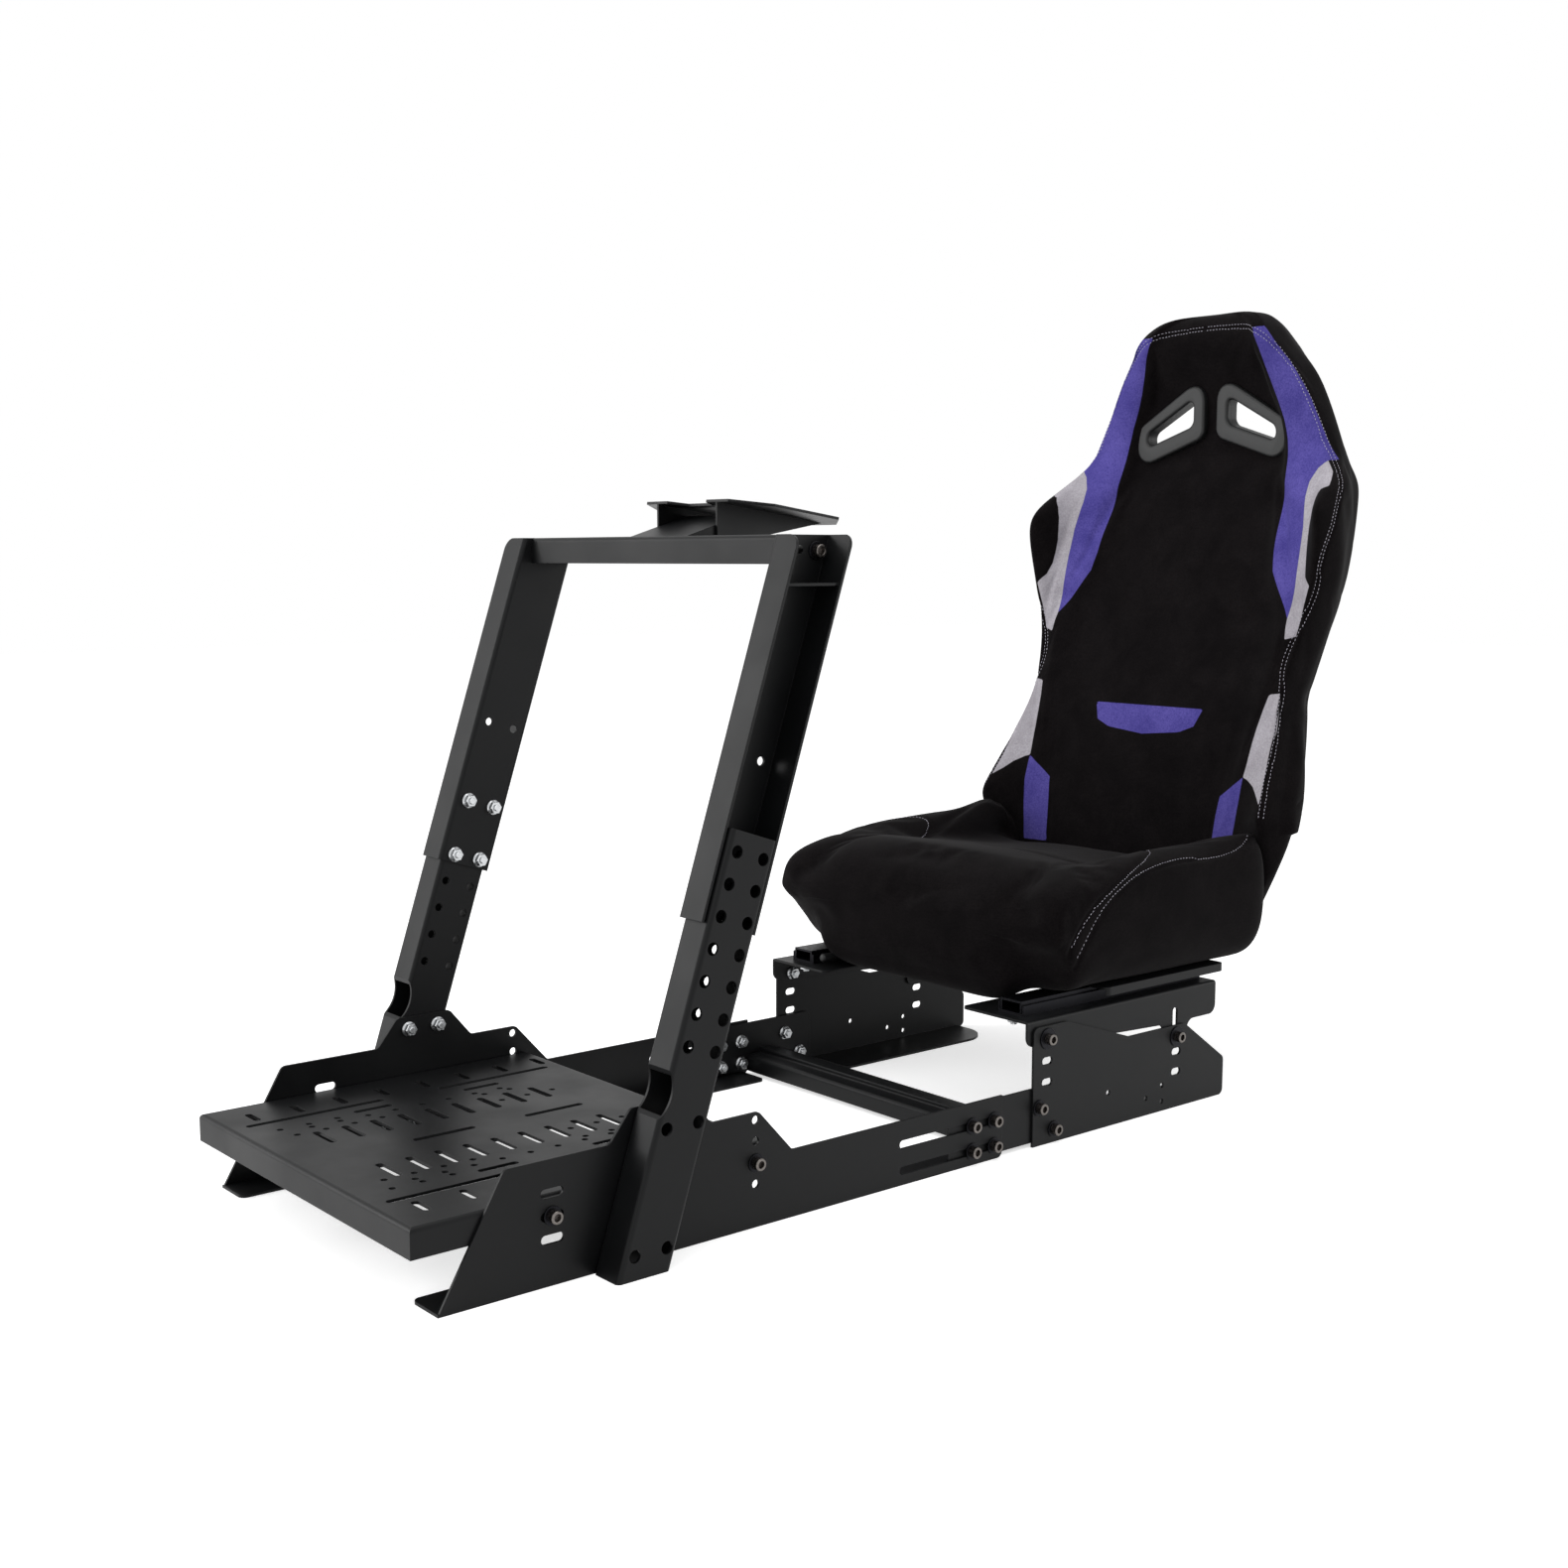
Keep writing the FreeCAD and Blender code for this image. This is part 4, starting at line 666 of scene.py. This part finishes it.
def sew(name, cover, runs, offsets, unsewn):
    """White top-stitching: short threads laid on the cover beside its seams, a few left out at each end."""
    tree = surface_tree(cover)
    whole = bmesh.new()
    size = Matrix.Diagonal((*(half * MM for half in STITCH_HALF_SIZE), 1.0))
    for run in runs:
        row = bmesh.new()
        spots = [Vector(spot) for spot in run[unsewn:len(run) - unsewn]]
        for before, spot, after in zip(spots, spots[1:], spots[2:]):
            along = (after - before).normalized()
            out = tree.find_nearest(spot)[1]
            for offset in offsets:
                place, normal = tree.find_nearest(spot + along.cross(out) * offset * MM)[:2]
                side = normal.cross(along).normalized()
                turn = Matrix((along, side, normal)).transposed().to_4x4()
                lift = Matrix.Translation(place + normal * STITCH_LIFT * MM)
                bmesh.ops.create_uvsphere(row, u_segments=6, v_segments=4, radius=1.0,
                                          matrix=lift @ turn @ size)
        sewn_row = bpy.data.meshes.new("row")
        row.to_mesh(sewn_row)
        row.free()
        whole.from_mesh(sewn_row)
    finish_piece(whole, name, THREAD, "seat", smooth=60)


back_rows = [run_through(run, STITCH_PITCH) for run in both_sides([BACK_SEAM])]
cushion_rows = [run_through(run, STITCH_PITCH) for run in both_sides(CUSHION_SEAMS)]
sew("seat_back_stitching", back_cover, laid_on(surface_tree(back_cover), back_rows),
    offsets=(-3.2, 3.2), unsewn=0)
sew("seat_cushion_stitching", cushion_cover, laid_on(surface_tree(cushion_cover), cushion_rows),
    offsets=(4.0,), unsewn=2)

# The solid parts keep their shape and get their finish.
finishes = {"black_powder_coat": COAT, "zinc_steel": BLACK_OXIDE, "black_suede": SUEDE,
            "black_plastic": PLASTIC, "grey_rubber": PLASTIC}
for part in frame["record"]["subparts"]:
    node = frame["nodes"][part["node"]]
    node.data.materials.clear()
    node.data.materials.append(finishes[part["material_slot"]])
for side, sign in (("left", 1), ("right", -1)):
    # Moulded rim of a belt opening: pressed into the pad, with a rounded outer edge and mouth.
    rim = finish_piece(prism(mirrored(RIM_OUTLINE, sign), *RIM_DEPTH), side + "_belt_rim", PLASTIC, "seat",
                       smooth=35)
    cut_away(rim, prism(mirrored(BELT_OPENING, sign), *BELT_CUT), PLASTIC)
    rounded = rim.modifiers.new("rounded", "BEVEL")
    rounded.width = RIM_ROUND * MM
    rounded.segments = 5
    rounded.limit_method = "ANGLE"
    rounded.angle_limit = math.radians(50)
    apply_modifiers(rim)
    rim.data.shade_smooth()
    rim.data.set_sharp_from_angle(angle=math.radians(35))
    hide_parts(side + "_harness_bezel")

# Fasteners

def set_on(bm, verts, place, axis):
    """Sets a part that was made along Z onto a face."""
    turn = Vector(axis).to_track_quat("Z", "Y").to_matrix().to_4x4()
    bmesh.ops.transform(bm, matrix=Matrix.Translation(place) @ turn, verts=verts)


def spun(bm, profile, sides):
    """A part turned from a profile of radii and heights in millimetres, with so many sides."""
    verts = [bm.verts.new((radius * MM, 0, height * MM)) for radius, height in profile]
    edges = [bm.edges.new(pair) for pair in zip(verts, verts[1:])]
    before = set(bm.verts) - set(verts)
    bmesh.ops.spin(bm, geom=verts + edges, axis=(0, 0, 1), cent=(0, 0, 0), angle=math.tau, steps=sides,
                   use_merge=True)
    made = [v for v in bm.verts if v not in before]
    bmesh.ops.remove_doubles(bm, verts=made, dist=0.002 * MM)
    return [v for v in bm.verts if v not in before]


WASHER_THICK = 1.6
WASHER_BORE = 4.2


def washer(bm, place, axis, radius):
    """A flat washer with softened rims."""
    profile = [(WASHER_BORE, 0), (radius, 0), (radius, 1.2), (radius - 0.4, WASHER_THICK),
               (WASHER_BORE, WASHER_THICK), (WASHER_BORE, 0)]
    set_on(bm, spun(bm, profile, 32), place, axis)


def socket_head(bm, place, axis):
    """An M8 cap screw's head: a chamfered drum with a round mouth that leads into its six-sided recess."""
    drum = [(0, 0), (6.5, 0), (6.5, 7.2), (5.8, 8.0), (4.0, 8.0), (3.7, 7.6)]
    set_on(bm, spun(bm, drum, 24), place, axis)
    recess = [(3.7, 7.6), (3.7, 3.5), (0, 3.0)]
    set_on(bm, spun(bm, recess, 6), place, axis)


def flange_nut(bm, place, axis):
    """An M8 flange nut on the end of its bolt."""
    set_on(bm, spun(bm, [(4, 0), (8.6, 0), (8.6, 1.0), (7.0, 2.2), (4, 2.2)], 24), place, axis)
    set_on(bm, spun(bm, [(7.4, 1.6), (7.4, 6.8), (6.6, 7.6), (4.2, 7.6), (3.8, 7.2)], 6), place, axis)
    set_on(bm, spun(bm, [(3.9, 6.0), (3.9, 9.4), (3.3, 10.0), (0, 10.0)], 16), place, axis)


# Each bolt: along, height, face under the head, face under the nut (nothing where it is closed in), washer.
FRAME_BOLTS = [
    (-535, 67, 230, 223.7, 9.5), (-294, 67, 230, 223.7, 9.5),
    (14, 45, 230, 224, 9.5), (48, 45, 230, 224, 9.5),
    (14, 16, 230, 224, 9.5), (48, 16, 230, 224, 9.5), (122, 45, 230, 224, 9.5), (147, 16, 230, 224, 9.5),
    (135, 124, 230, 224, 12.5), (367, 89, 230, 224, 12.5), (-216, 676, 230, None, 9.5),
    (-431, 138, None, 227, 0), (-394, 138, None, 227, 0),
    (-471, 23.5, None, 227, 0), (-434, 23.5, None, 227, 0),
    (-347.4, 392.7, None, 227, 0), (-315.1, 382.1, None, 227, 0), (-366.8, 332.1, None, 227, 0),
    (-334.9, 322.8, None, 227, 0),
]
# Bolts that hold the slides: their places along, and where their nuts sit under the brackets' tops.
SLIDE_BOLTS = (126, 436)
SLIDE_MIDDLE = 185
BRACKET_UNDERSIDE = 144
heads = bmesh.new()
washers = bmesh.new()
nuts = bmesh.new()
for along, height, outer_face, inner_face, washer_radius in FRAME_BOLTS:
    for sign in (1, -1):
        if outer_face:
            washer(washers, at(sign * outer_face, along, height), (sign, 0, 0), washer_radius)
            socket_head(heads, at(sign * (outer_face + WASHER_THICK), along, height), (sign, 0, 0))
        if inner_face:
            flange_nut(nuts, at(sign * inner_face, along, height), (-sign, 0, 0))
for sign in (1, -1):
    for along in SLIDE_BOLTS:
        flange_nut(nuts, at(sign * SLIDE_MIDDLE, along, BRACKET_UNDERSIDE), (0, 0, -1))
for bm, name, material in (
    (heads, "frame_screws", BURNISHED), (washers, "frame_washers", BLACK_OXIDE), (nuts, "frame_nuts", ZINC),
):
    bmesh.ops.recalc_face_normals(bm, faces=bm.faces[:])
    finish_piece(bm, name, material, "frame", smooth=32)

# Studio

# How much the floor glows where it is seen, and the world's light on the object.
FLOOR_LIFT = 0.6
WORLD_LIGHT = 0.55


def seen_directly(tree):
    """1 for rays from the camera, from a reflection or through something clear, and 0 for the light's."""
    path = add_node(tree, "ShaderNodeLightPath").outputs
    seen = path["Is Camera Ray"]
    for ray in ("Is Glossy Ray", "Is Transmission Ray"):
        seen = add_node(tree, "ShaderNodeMath", {0: seen, 1: path[ray]}, operation="MAXIMUM").outputs[0]
    return seen


floor_mesh = bpy.data.meshes.new("studio_floor")
bm = bmesh.new()
bmesh.ops.create_grid(bm, x_segments=1, y_segments=1, size=12.0)
bm.to_mesh(floor_mesh)
bm.free()
floor = bpy.data.objects.new("studio_floor", floor_mesh)
bpy.context.scene.collection.objects.link(floor)

scene = bpy.context.scene
scene.view_settings.view_transform = "Standard"
world = bpy.data.worlds.new("studio")
world.use_nodes = True
scene.world = world
tree = world.node_tree
background = tree.nodes["Background"]
level = add_node(tree, "ShaderNodeMapRange", {
    "Value": seen_directly(tree), "To Min": WORLD_LIGHT, "To Max": 1.0,
})
background.inputs["Color"].default_value = (1, 1, 1, 1)
tree.links.new(level.outputs["Result"], background.inputs["Strength"])

# Matt floor paint: pale, lifted to the background's white where it is seen, so that only the shadow shows.
floor_paint = bpy.data.materials.new("pale_floor_paint")
floor_paint.use_nodes = True
tree = floor_paint.node_tree
paint = tree.nodes["Principled BSDF"]
paint.inputs["Base Color"].default_value = linear("#f4f4f4")
paint.inputs["Roughness"].default_value = 0.9
paint.inputs["Specular IOR Level"].default_value = 0.0
paint.inputs["Emission Color"].default_value = (1, 1, 1, 1)
lift = add_node(tree, "ShaderNodeMath", {0: seen_directly(tree), 1: FLOOR_LIFT}, operation="MULTIPLY")
tree.links.new(lift.outputs[0], paint.inputs["Emission Strength"])
floor_mesh.materials.append(floor_paint)


def softbox(name, place, target, size, power):
    """A square soft lamp aimed at a point."""
    lamp = bpy.data.lights.new(name, "AREA")
    lamp.size = size
    lamp.energy = power
    holder = bpy.data.objects.new(name, lamp)
    scene.collection.objects.link(holder)
    holder.location = place
    holder.rotation_euler = (Vector(target) - Vector(place)).to_track_quat("-Z", "Y").to_euler()


softbox("overhead", (0.3, -0.4, 3.2), (0, 0, 0.4), 3.0, 46)
softbox("front_left", (-2.6, -3.2, 1.6), (0, 0, 0.4), 2.4, 86)
softbox("front", (1.2, -3.4, 2.0), (0, 0, 0.4), 2.0, 12)
softbox("rear_right", (2.4, 2.6, 1.0), (0, 0, 0.2), 1.4, 22)

# The camera of the photograph: its focal length in pixels of the square image, its place and its aim.
FOCAL_PIXELS = 1918.3
IMAGE_PIXELS = 1580
LOOKING_DOWN = 6.77
HEADING = 50.22
camera = bpy.data.cameras.new("camera")
camera.sensor_width = 36.0
camera.lens = camera.sensor_width * FOCAL_PIXELS / IMAGE_PIXELS
eye = bpy.data.objects.new("camera", camera)
scene.collection.objects.link(eye)
eye.location = (1.670, -1.502, 0.669)
eye.rotation_euler = (math.radians(90 - LOOKING_DOWN), 0, math.radians(HEADING))
scene.camera = eye
